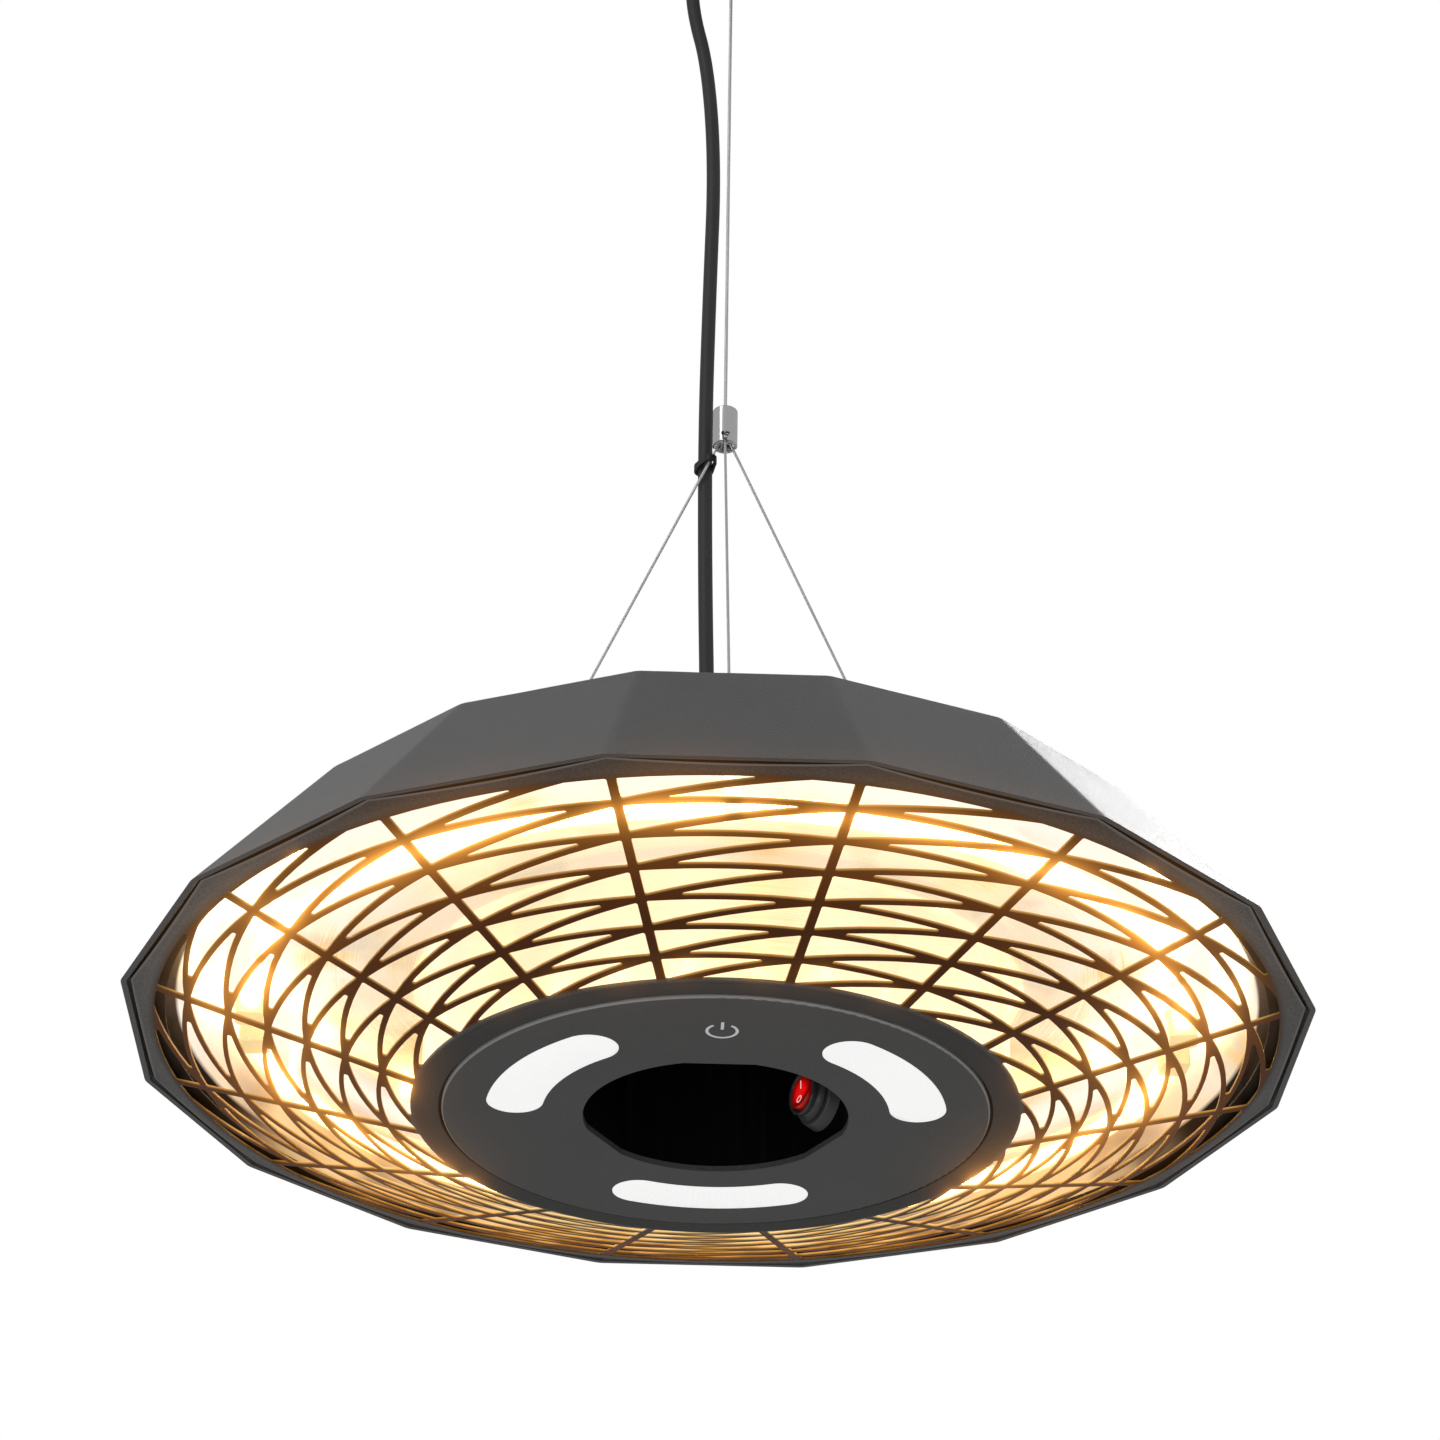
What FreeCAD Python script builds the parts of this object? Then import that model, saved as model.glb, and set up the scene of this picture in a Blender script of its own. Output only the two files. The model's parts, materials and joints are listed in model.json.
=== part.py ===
import FreeCAD
import Part
import math
import os
from FreeCAD import Matrix, Vector

# Hanging infrared patio heater. Millimetres and degrees, +Z up.
# The origin is the middle of the ceiling plate's upper face, and everything hangs below it.
# Azimuths are counted from +X towards +Y, and the front of the heater is at -Y.

# Casing
ceiling_drop = 790.0
side_count = 16
rim_corner_radius = 300.0
top_corner_radius = 228.0
casing_height = 86.4
casing_wall = 1.2
casing_hem = 3.0
casing_arris_round = 16.0
casing_top_round = 8.0

# Front grille
grille_sheet = 1.5
grille_edge_gap = 2.0
grille_edge_drop = 0.4
grille_depth = 39.0
rim_band = 7.3
shoulder_land = 2.5
flange_width = 11.8
seat_width = 14.2
skirt_height = 1.8
rim_ring_inner_radius = 277.0
rim_ring_sheet = 1.2
shoulder_round = 2.0
band_count = 7
band_growth = 0.2
pattern_overlap = 5.4
spoke_width = 4.3
ring_rib_width = 2.4
slant_rib_width = 2.7
hole_tip_round = 1.1
hole_corner_round = 1.0

# Control panel
panel_radius = 137.0
panel_thickness = 3.0
panel_proud = 0.8
panel_groove = 1.2
panel_edge_round = 1.0
icon_radius = 8.0
icon_line = 1.5
icon_depth = 0.4
icon_ring_radius = 101.0
icon_azimuth = 270.0
icon_gap_angle = 36.0
touch_board_length = 34.0
touch_board_width = 26.0
board_thickness = 1.6

# Light windows
window_inner_radius = 87.0
window_outer_radius = 115.5
window_span = 59.0
window_clearance = 0.15
lens_flange = 2.5
lens_flange_thickness = 1.5
lens_wall = 3.0
chip_count = 9
chip_length = 3.5
chip_width = 2.8
chip_height = 0.8
window_names = {"rear": 90.0, "left": 210.0, "right": 330.0}

# Centre well
well_radius = 66.5
well_flat_distance = 64.2
well_flat_azimuths = (30.0, 150.0, 270.0)
well_wall = 1.5
well_height = 88.0
well_flange_radius = 82.0

# Main switch in the well
switch_azimuth = 30.0
switch_height = -13.0
boot_base_radius = 17.2
boot_radius = 15.2
boot_length = 6.0
collar_radius = 13.5
collar_groove_depth = 1.0
collar_step = 1.0
neck_radius = 11.2
neck_length = 2.5
bezel_radius = 11.6
bezel_length = 3.0
bezel_lip = 1.0
bezel_dish = 1.0
barrel_radius = 10.0
barrel_clearance = 0.2
barrel_depth = 20.0
rocker_pocket_depth = 7.0
rocker_radius = 9.0
rocker_clearance = 0.3
rocker_pivot_depth = 2.2
rocker_half_throw = 7.0
rocker_crown = 2.2
rocker_body_depth = 3.0
rocker_pin_radius = 0.8
pin_clearance = 0.05
switch_nut_radius = 14.0
switch_nut_length = 5.0
blade_length = 8.0
blade_width = 6.3
blade_thickness = 0.8
blade_spacing = 8.0

# Core drum
drum_inset = 3.5
drum_sheet = 1.2
drum_foot = 24.5
drum_top_flange = 12.5

# Reflector
reflector_sheet = 0.8
reflector_height = 34.0
reflector_gap = 0.5
reflector_shoulder_radius = 250.0
reflector_setback = 1.5
reflector_inner_round = 12.0
reflector_outer_round = 10.0

# Heating tubes
tube_ring_radius = 235.0
tube_level = 8.0
tube_radius = 5.5
tube_glass = 1.0
filament_radius = 2.2
tube_end_angle = 6.0
cap_length = 16.0
cap_width = 14.0
clip_width = 8.0
clip_sheet = 1.2
clip_clearance = 0.3
clip_foot = 14.0
clip_end_angle = 14.0
lead_radius = 1.2
lead_level = 58.0
lead_bend = 8.0
bushing_radius = 3.4
bushing_flange = 5.0
bushing_below = 3.0
bushing_cap = 1.5

# Electrics under the casing top
terminal_size = 44.0
terminal_height = 18.0
control_box_length = 90.0
control_box_width = 56.0
control_box_height = 30.0
control_box_azimuth = 270.0
driver_length = 60.0
driver_width = 40.0
driver_height = 22.0
driver_azimuth = 130.0
box_edge_round = 3.0
box_gap = 2.0

# Suspension wires
hub_bottom = 367.0
hub_height = 24.0
hub_radius = 7.0
hub_cavity_radius = 5.0
hub_cavity_height = 9.0
hub_slot_width = 2.4
hub_edge_round = 0.8
hub_screw_radius = 2.0
main_wire_radius = 1.0
leg_wire_radius = 0.8
wire_clearance = 0.1
wire_grip = 12.0
ball_radius = 2.0
ball_ring_radius = 2.7
ball_height = 5.0
leg_names = {"front": 270.0, "left": 150.0, "right": 30.0}
anchor_gap = 13.7
anchor_post_radius = 4.5
anchor_post_height = 13.0
anchor_flange_radius = 7.0
anchor_flange_height = 2.0
anchor_wire_height = 9.0
stud_radius = 3.0
stud_length = 7.0
stud_nut_radius = 5.8
stud_nut_height = 5.0

# Power cord and its glands
cord_radius = 4.0
cord_clearance = 0.25
gland_hex_radius = 11.0
gland_hex_height = 6.0
gland_dome_radius = 9.0
gland_dome_height = 14.0
gland_thread_radius = 8.0
gland_thread_length = 9.0
gland_nut_radius = 12.0
gland_nut_height = 4.0
hole_clearance = 0.2
body_gland_x = -9.5
canopy_gland_x = -24.0
tie_height = 361.0
tie_band_width = 4.0
tie_band_thickness = 1.2
tie_head = 5.0
tie_slack = 1.7

# Ceiling fitting
plate_radius = 48.0
plate_thickness = 2.5
plate_bolt_circle = 80.0
plate_bolt_count = 4
plate_bolt_radius = 2.75
supply_hole_x = 22.0
supply_hole_radius = 8.0
tab_width = 14.0
tab_length = 14.0
tab_sheet = 2.0
canopy_radius = 58.0
canopy_height = 44.0
canopy_wall = 1.2
canopy_gap = 0.5
canopy_mouth_radius = 11.0
canopy_edge_round = 6.0
bracket_sheet = 2.5
bracket_base_length = 26.0
ear_radius = 8.0
ear_gap = 7.0
pin_drop = 20.0
hanger_pin_radius = 2.5
pin_head_radius = 4.2
pin_head_length = 2.0
pin_tail = 3.5
clip_groove_depth = 0.6
clip_ring_radius = 4.6
clip_ring_thickness = 0.8
eye_thickness = 6.0
eye_radius = 6.2
eye_shank_radius = 2.6
eye_shank_length = 26.0
supply_block_length = 30.0
supply_block_width = 18.0
supply_block_height = 16.0
supply_block_azimuth = 60.0
supply_block_radius = 30.0

# Screws
screw_radius = 1.5
screw_head_radius = 3.0
screw_head_height = 1.8
screw_bite = 2.0
core_screw_count = 6
casing_screw_length = 8.0

# Levels and sizes that follow from the values above
side_angle = 360.0 / side_count
corner_to_flat = math.cos(math.radians(side_angle / 2))
rim_level = -ceiling_drop
top_level = rim_level + casing_height
top_under = top_level - casing_wall
casing_taper = (rim_corner_radius - top_corner_radius) * corner_to_flat / casing_height
casing_wall_across = casing_wall * math.sqrt(1 + casing_taper ** 2)
grille_corner_radius = rim_corner_radius - casing_hem - grille_edge_gap
grille_flat_radius = grille_corner_radius * corner_to_flat
flange_level = rim_level - grille_depth
face_level = flange_level - panel_proud
seat_level = face_level + panel_thickness
drum_level = seat_level + grille_sheet
flange_inner_radius = panel_radius + panel_groove
shoulder_radius = flange_inner_radius + flange_width
seat_inner_radius = flange_inner_radius - seat_width
cone_slope = (grille_depth - grille_edge_drop) / (grille_flat_radius - shoulder_radius)
hole_outer_radius = grille_flat_radius - rim_band
hole_inner_radius = shoulder_radius + shoulder_land
skirt_level = rim_level + skirt_height
ring_level = skirt_level + rim_ring_sheet
drum_radius = shoulder_radius - drum_inset
core_screw_ring = (seat_inner_radius + panel_radius) / 2
top_screw_ring = drum_radius - drum_top_flange / 2
anchor_ring_radius = drum_radius + anchor_gap + stud_nut_radius
roof_level = seat_level + well_height
tube_height = rim_level + tube_level
hub_level = rim_level + hub_bottom
hub_top = hub_level + hub_height
pin_level = -pin_drop
canopy_bottom = -canopy_height

# The cord's route, from the terminal block up to the canopy's gland: (x, y, height above the rim)
cord_route = [
    (body_gland_x, 0.0, roof_level + terminal_height - rim_level),
    (body_gland_x, 0.0, 175.0),
    (-11.4, 10.2, 285.0),
    (-11.2, 14.4, 390.0),
    (-8.6, 13.6, 485.0),
    (-5.6, 10.6, 575.0),
    (-13.0, 4.2, 650.0),
    (canopy_gland_x, 0.0, 700.0),
    (canopy_gland_x, 0.0, ceiling_drop - canopy_height),
]


# Helpers

def polar(radius, azimuth, height=0.0):
    """Point at a radius and azimuth about the heater's axis."""
    angle = math.radians(azimuth)
    return Vector(radius * math.cos(angle), radius * math.sin(angle), height)


def turned(shape, azimuth):
    """Copy of a shape turned about the heater's axis."""
    return shape.rotated(Vector(0, 0, 0), Vector(0, 0, 1), azimuth)


def rod(radius, low, high, x=0.0, y=0.0):
    """Upright round bar between two levels."""
    return Part.makeCylinder(radius, high - low, Vector(x, y, low))


def ring(outer, inner, low, high, x=0.0, y=0.0):
    """Upright round sleeve between two levels."""
    return rod(outer, low, high, x, y).cut(rod(inner, low, high, x, y))


def bar(radius, start, end):
    """Round bar from one point to another."""
    along = end.sub(start)
    return Part.makeCylinder(radius, along.Length, start, along)


def block(length, width, low, high, x=0.0, y=0.0):
    """Upright block centred on a point, between two levels."""
    return Part.makeBox(length, width, high - low, Vector(x - length / 2, y - width / 2, low))


def prism(points, low, high):
    """Upright prism over a closed outline of (x, y) points."""
    corners = [Vector(x, y, low) for x, y in points]
    return Part.Face(Part.makePolygon(corners + corners[:1])).extrude(Vector(0, 0, high - low))


def hexagon(radius, low, high, x=0.0, y=0.0):
    """Upright hexagonal prism over its corner radius."""
    corners = [polar(radius, 60.0 * k) for k in range(6)]
    return prism([(c.x + x, c.y + y) for c in corners], low, high)


def sided_wire(corner_radius, level):
    """Outline of the casing's many-sided plan at a level."""
    corners = [polar(corner_radius, (k + 0.5) * side_angle, level) for k in range(side_count)]
    return Part.makePolygon(corners + corners[:1])


def sided_prism(corner_radius, low, high):
    """Upright prism with the casing's many-sided plan."""
    return Part.Face(sided_wire(corner_radius, low)).extrude(Vector(0, 0, high - low))


def sided_frustum(low_radius, low, high_radius, high):
    """Tapered solid with the casing's many-sided plan."""
    return Part.makeLoft([sided_wire(low_radius, low), sided_wire(high_radius, high)], True, True)


def lathe(points):
    """Solid turned about the heater's axis from a closed outline of (radius, level) points."""
    corners = [Vector(radius, 0, level) for radius, level in points]
    face = Part.Face(Part.makePolygon(corners + corners[:1]))
    return face.revolve(Vector(0, 0, 0), Vector(0, 0, 1), 360)


def sheet_outline(path, thickness):
    """Closed outline of a bent sheet: the path is one face, and the other lies on its left."""
    normals = []
    for start, end in zip(path, path[1:]):
        across, rise = end[0] - start[0], end[1] - start[1]
        size = math.hypot(across, rise)
        normals.append((-rise / size, across / size))
    other = []
    for index, point in enumerate(path):
        before = normals[max(index - 1, 0)]
        after = normals[min(index, len(normals) - 1)]
        share = 1 + before[0] * after[0] + before[1] * after[1]
        shift = [(before[axis] + after[axis]) * thickness / share for axis in (0, 1)]
        other.append((point[0] + shift[0], point[1] + shift[1]))
    return path + other[::-1]


def round_circles(shape, radius, spots, tolerance=0.05):
    """Round the turned edges that lie at the given (radius, level) spots."""
    picked = []
    for edge in shape.Edges:
        if not isinstance(edge.Curve, Part.Circle):
            continue
        for spot_radius, spot_level in spots:
            near = abs(edge.Curve.Radius - spot_radius) < tolerance
            if near and abs(edge.Curve.Center.z - spot_level) < tolerance:
                picked.append(edge)
    return shape.makeFillet(radius, picked)


def upright_edges(shape):
    """Straight vertical edges of a prism."""
    picked = []
    for edge in shape.Edges:
        ends = [vertex.Point for vertex in edge.Vertexes]
        if len(ends) == 2 and math.hypot(ends[0].x - ends[1].x, ends[0].y - ends[1].y) < 1e-6:
            picked.append(edge)
    return picked


def framed(shape, origin, across, up, outward):
    """Copy of a shape moved from its own axes to a frame of three directions."""
    matrix = Matrix(across.x, up.x, outward.x, origin.x,
                    across.y, up.y, outward.y, origin.y,
                    across.z, up.z, outward.z, origin.z,
                    0, 0, 0, 1)
    return shape.transformed(matrix)


def screw(head_level, length, x, y):
    """Pan head screw that points down, with its head standing on a level."""
    head = rod(screw_head_radius, head_level, head_level + screw_head_height, x, y)
    head = head.makeFillet(screw_head_height / 2, [head.Edges[0]])
    return head.fuse(rod(screw_radius, head_level - length, head_level, x, y)).removeSplitter()


def bent_path(points):
    """Straight runs joined by tangent arcs, each as large as its two runs allow.

    Returns the path's wire and the radii of its arcs.
    """
    edges = []
    radii = []
    cursor = points[0]
    for before, corner, after in zip(points, points[1:], points[2:]):
        back, ahead = before.sub(corner), after.sub(corner)
        turn = math.pi - back.getAngle(ahead)
        reach = 0.45 * min(back.Length, ahead.Length)
        radii.append(reach / math.tan(turn / 2))
        start = corner.add(Vector(back).normalize().multiply(reach))
        end = corner.add(Vector(ahead).normalize().multiply(reach))
        bisector = Vector(back).normalize().add(Vector(ahead).normalize()).normalize()
        sag = radii[-1] * (1 / math.cos(turn / 2) - 1)
        edges.append(Part.LineSegment(cursor, start).toShape())
        edges.append(Part.Arc(start, corner.add(bisector.multiply(sag)), end).toShape())
        cursor = end
    edges.append(Part.LineSegment(cursor, points[-1]).toShape())
    return Part.Wire(edges), radii


def tube_along(path, radius):
    """Round bar swept along a wire."""
    start = path.Edges[0].Vertexes[0].Point
    along = path.Edges[0].tangentAt(path.Edges[0].FirstParameter)
    section = Part.Wire([Part.Circle(start, along, radius).toShape()])
    return path.makePipeShell([section], True, False)


# Casing

def casing_corner_radius(height, inset):
    """Corner radius of the casing's plan at a height above the rim, moved in by a wall."""
    corner = rim_corner_radius - casing_taper * height / corner_to_flat
    return corner - inset / corner_to_flat


def softened_frustum(low, high, inset, shrink):
    """The casing's tapered form between two levels with its arrises and top edge rounded."""
    form = sided_frustum(casing_corner_radius(low - rim_level, inset), low,
                         casing_corner_radius(high - rim_level, inset), high)
    arrises = [edge for edge in form.Edges
               if abs(edge.Vertexes[0].Z - edge.Vertexes[1].Z) > casing_height / 2]
    form = form.makeFillet(casing_arris_round - shrink, arrises)
    top_edges = [edge for edge in form.Edges
                 if all(abs(vertex.Z - high) < 1e-4 for vertex in edge.Vertexes)]
    return form.makeFillet(casing_top_round - shrink, top_edges)


def anchor_spots():
    """Places of the three leg wires' anchors on the casing top."""
    return [polar(anchor_ring_radius, azimuth) for azimuth in leg_names.values()]


def screw_spots(radius):
    """Places of a ring of core screws."""
    return [polar(radius, 360.0 * k / core_screw_count) for k in range(core_screw_count)]


def upper_casing():
    """Tapered sixteen-sided shell, open below, with holes in its flat top."""
    skirt = rim_level - casing_wall
    shell = softened_frustum(rim_level, top_level, 0, 0)
    cavity = softened_frustum(skirt, top_under, casing_wall_across, casing_wall)
    cavity = cavity.common(sided_prism(rim_corner_radius - casing_hem, skirt, top_level))
    holes = [rod(gland_thread_radius + hole_clearance, top_under, top_level, body_gland_x)]
    for spot in anchor_spots():
        holes.append(rod(stud_radius + hole_clearance, top_under, top_level, spot.x, spot.y))
    for spot in screw_spots(top_screw_ring):
        holes.append(rod(screw_radius + hole_clearance, top_under, top_level, spot.x, spot.y))
    return shell.cut([cavity] + holes)


def casing_screws():
    """Screws that hold the casing top to the core drum."""
    return [screw(top_level, casing_screw_length, spot.x, spot.y)
            for spot in screw_spots(top_screw_ring)]


# Front grille

def ring_radius(index):
    """Radius of one ring rib, counted from the inner edge: the steps grow a little outwards."""
    span = hole_outer_radius + pattern_overlap - shoulder_radius
    step = (span - band_growth * band_count ** 2) / band_count
    return shoulder_radius + step * index + band_growth * index ** 2


def cone_level(radius):
    """Level of the grille's lower face at a radius."""
    return flange_level + (radius - shoulder_radius) * cone_slope


def circle_through(first, middle, last):
    """Centre and radius of the arc through three points in the plan."""
    circle = Part.Arc(first, middle, last).toShape().Curve
    return circle.Center, circle.Radius


def bay_holes(low, high):
    """The two rows of wedge holes of the bay about +X, as upright prisms."""
    half = side_angle / 2
    apex = spoke_width / 2 / math.sin(math.radians(half))
    reach = 2 * rim_corner_radius
    spread = reach * math.tan(math.radians(half))
    bay = prism([(apex, 0), (apex + reach, -spread), (apex + reach, spread)], low, high)
    holes = []
    for band in range(band_count):
        inner, outer = ring_radius(band), ring_radius(band + 1)
        centre, radius = circle_through(polar(inner, -half), polar((inner + outer) / 2, 0),
                                        polar(outer, half))
        near = max(inner + ring_rib_width / 2, hole_inner_radius)
        far = min(outer - ring_rib_width / 2, hole_outer_radius)
        strip = bay.common(ring(far, near, low, high))
        beyond = rod(radius + slant_rib_width / 2, low, high, centre.x, centre.y)
        within = rod(radius - slant_rib_width / 2, low, high, centre.x, centre.y)
        for hole, tip_side in ((strip.cut(beyond), 1), (strip.common(within), -1)):
            edges = upright_edges(hole)
            edges.sort(key=lambda edge: tip_side * edge.Vertexes[0].Y / edge.Vertexes[0].X)
            hole = hole.makeFillet(hole_tip_round, edges[-1:])
            base = sorted(upright_edges(hole), key=lambda edge: tip_side * edge.Vertexes[0].Y)
            holes.append(hole.makeFillet(hole_corner_round, base[:2]))
    return holes


def front_grille():
    """Pressed sheet: seat flange, rounded shoulder, pierced cone and upturned skirt."""
    beyond = rim_corner_radius
    path = [(seat_inner_radius, seat_level), (flange_inner_radius, seat_level),
            (flange_inner_radius, flange_level), (shoulder_radius, flange_level),
            (beyond, cone_level(beyond))]
    sheet = lathe(sheet_outline(path, grille_sheet))
    sheet = round_circles(sheet, shoulder_round / 2, [(flange_inner_radius, flange_level)])
    sheet = round_circles(sheet, shoulder_round, [(shoulder_radius, flange_level)])
    low, high = flange_level - grille_sheet, skirt_level
    plan = sided_prism(grille_corner_radius, low, high)
    skirt = plan.cut(sided_prism(grille_corner_radius - grille_sheet / corner_to_flat, low, high))
    above_cone = lathe([(shoulder_radius, flange_level), (beyond, cone_level(beyond)),
                        (beyond, skirt_level), (shoulder_radius, skirt_level)])
    body = sheet.common(plan).fuse(skirt.common(above_cone))
    holes = []
    for hole in bay_holes(low, high):
        holes += [turned(hole, side_angle * k) for k in range(side_count)]
    for spot in screw_spots(core_screw_ring):
        holes.append(rod(screw_radius + hole_clearance, low, high, spot.x, spot.y))
    return body.cut(holes).removeSplitter()


# Control panel, lights and well

def well_core(grow, low, high):
    """Round core with three flats, the well's inside moved out by a wall."""
    core = rod(well_radius + grow, low, high)
    width = 2 * well_radius
    for azimuth in well_flat_azimuths:
        off = block(width, 2 * width, low, high, well_flat_distance + grow + width / 2)
        core = core.cut(turned(off, azimuth))
    return core


def window_prism(azimuth, grow, low, high):
    """Curved slot with round ends, moved out by a margin."""
    middle = (window_inner_radius + window_outer_radius) / 2
    half_width = (window_outer_radius - window_inner_radius) / 2
    end_angle = window_span / 2 - math.degrees(math.asin(half_width / middle))
    inner, outer = window_inner_radius - grow, window_outer_radius + grow
    edges = []
    for sign in (1, -1):
        end = polar(middle, sign * end_angle, low)
        tip = end.add(polar(half_width + grow, sign * (end_angle + 90)))
        points = [polar(outer, sign * end_angle, low), tip, polar(inner, sign * end_angle, low)]
        edges.append(Part.Arc(*points).toShape())
    for radius in (inner, outer):
        points = [polar(radius, angle, low) for angle in (-end_angle, 0, end_angle)]
        edges.append(Part.Arc(*points).toShape())
    face = Part.Face(Part.Wire(Part.__sortEdges__(edges)))
    return turned(face.extrude(Vector(0, 0, high - low)), azimuth)


def icon_marks(grow, low, high):
    """Ring with a gap and a bar in the gap, which stands outwards on the panel."""
    inner = icon_radius - icon_line
    loop = ring(icon_radius + grow, inner - grow, low, high)
    half_gap = math.radians(icon_gap_angle) - grow / icon_radius
    reach = 2 * icon_radius
    gap = prism([(0, 0), (reach, -reach * math.tan(half_gap)), (reach, reach * math.tan(half_gap))],
                low, high)
    stroke = block(icon_radius + 2 * grow, icon_line + 2 * grow, low, high, 0.7 * icon_radius)
    marks = [loop.cut(gap), stroke]
    for mark in marks:
        mark.translate(Vector(icon_ring_radius, 0, 0))
    return [turned(mark, icon_azimuth) for mark in marks]


def control_panel():
    """Round panel with the well's opening, three windows, the touch mark's pockets and pilots."""
    plate = rod(panel_radius, face_level, seat_level)
    plate = round_circles(plate, panel_edge_round, [(panel_radius, face_level)])
    cuts = [well_core(0, face_level, seat_level)]
    for azimuth in window_names.values():
        cuts.append(window_prism(azimuth, 0, face_level, seat_level))
    cuts += icon_marks(0, face_level, face_level + icon_depth)
    for radius in (core_screw_ring, well_screw_ring()):
        for spot in screw_spots(radius):
            cuts.append(rod(screw_radius + pin_clearance, seat_level - screw_bite, seat_level,
                            spot.x, spot.y))
    return plate.cut(cuts)


def well_screw_ring():
    """Radius of the screws that hold the well's flange to the panel."""
    return (well_radius + well_wall + well_flange_radius) / 2


def power_icon():
    """Touch mark let into the panel, flush with its face."""
    return icon_marks(0, face_level, face_level + icon_depth)


def light_lens(azimuth):
    """Diffuser that fills a window, with a flange behind the panel and a pocket for the chips."""
    plug = window_prism(azimuth, -window_clearance, face_level, seat_level)
    flange_top = seat_level + lens_flange_thickness
    flange = window_prism(azimuth, lens_flange, seat_level, flange_top)
    pocket = window_prism(azimuth, -lens_wall, seat_level - panel_thickness / 2, flange_top)
    return plug.fuse(flange).cut(pocket).removeSplitter()


def light_board(azimuth):
    """Curved circuit board on the lens flange, with its row of light chips below."""
    low = seat_level + lens_flange_thickness
    board = window_prism(azimuth, lens_flange, low, low + board_thickness)
    middle = (window_inner_radius + window_outer_radius) / 2
    half = window_span / 2 - math.degrees(window_outer_radius - middle) / middle
    chips = []
    for index in range(chip_count):
        chip = block(chip_length, chip_width, low - chip_height, low, middle)
        chips.append(turned(chip, azimuth - half + 2 * half * index / (chip_count - 1)))
    return board.fuse(chips)


def touch_board():
    """Small circuit board behind the touch mark."""
    board = block(touch_board_width, touch_board_length, seat_level, seat_level + board_thickness,
                  icon_ring_radius)
    return turned(board, icon_azimuth)


def center_well():
    """Cup with three flats: foot flange, wall, roof and the hole for the switch."""
    foot_top = seat_level + well_wall
    foot = rod(well_flange_radius, seat_level, foot_top)
    body = foot.fuse(well_core(well_wall, seat_level, roof_level))
    hole = framed(Part.makeCylinder(barrel_radius + barrel_clearance, 4 * well_wall,
                                    Vector(0, 0, -2 * well_wall)), *switch_frame())
    cuts = [well_core(0, seat_level, roof_level - well_wall), hole]
    for spot in screw_spots(well_screw_ring()):
        cuts.append(rod(screw_radius + hole_clearance, seat_level, foot_top, spot.x, spot.y))
    return body.cut(cuts).removeSplitter()


def well_screws():
    """Screws that hold the well's foot to the panel."""
    head_level = seat_level + well_wall
    return [screw(head_level, well_wall + screw_bite - pin_clearance, spot.x, spot.y)
            for spot in screw_spots(well_screw_ring())]


def core_screws():
    """Screws that clamp drum and grille to the panel."""
    head_level = drum_level + drum_sheet
    length = drum_sheet + grille_sheet + screw_bite - pin_clearance
    return [screw(head_level, length, spot.x, spot.y) for spot in screw_spots(core_screw_ring)]


# Main switch

def switch_frame():
    """Origin and directions of the switch: the flat's middle, along the flat, up, and outwards."""
    angle = math.radians(switch_azimuth)
    outward = Vector(-math.cos(angle), -math.sin(angle), 0)
    across = Vector(math.sin(angle), -math.cos(angle), 0)
    origin = polar(well_flat_distance, switch_azimuth, rim_level + switch_height)
    return origin, across, Vector(0, 0, 1), outward


def boot_outline():
    """Stepped outline of the boot as (radius, height off the wall) points, and its length."""
    points = [(boot_base_radius, 0), (boot_radius, boot_length)]
    height = boot_length
    for radius, step in ((collar_radius - collar_groove_depth, collar_step),
                         (collar_radius, collar_step), (neck_radius, neck_length)):
        points += [(radius, height), (radius, height + step)]
        height += step
    return points, height


def switch_boot():
    """Ribbed rubber collar between the well's flat and the bezel."""
    points, height = boot_outline()
    bore = barrel_radius + barrel_clearance
    body = lathe(points + [(bore, height), (bore, 0)])
    body = round_circles(body, boot_length / 5, [(boot_radius, boot_length)])
    return framed(body, *switch_frame())


def bezel_height():
    """Height of the bezel's face off the well's flat."""
    return boot_outline()[1] + bezel_length


def pivot_height():
    """Height of the rocker's pivot off the well's flat."""
    return bezel_height() - rocker_pivot_depth


def switch_housing():
    """Bezel with a dished face, barrel with the rocker's pocket, and two blade terminals."""
    face = bezel_height()
    rear = -well_wall - barrel_depth
    body = rod(barrel_radius, rear, face).fuse(rod(bezel_radius, face - bezel_length, face))
    body = body.removeSplitter()
    body = round_circles(body, bezel_length / 5, [(bezel_radius, face)])
    pocket_radius = rocker_radius + rocker_clearance
    pocket = rod(pocket_radius, face - rocker_pocket_depth, face)
    dish = lathe([(0, face - bezel_dish), (pocket_radius, face - bezel_dish),
                  (bezel_radius - bezel_lip, face), (0, face)])
    pin_hole = bar(rocker_pin_radius + pin_clearance, Vector(-barrel_radius, 0, pivot_height()),
                   Vector(barrel_radius, 0, pivot_height()))
    body = body.cut([pocket, dish, pin_hole])
    for side in (-1, 1):
        blade = block(blade_thickness, blade_width, rear - blade_length, rear,
                      side * blade_spacing / 2)
        body = body.fuse(blade)
    return framed(body, *switch_frame())


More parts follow.
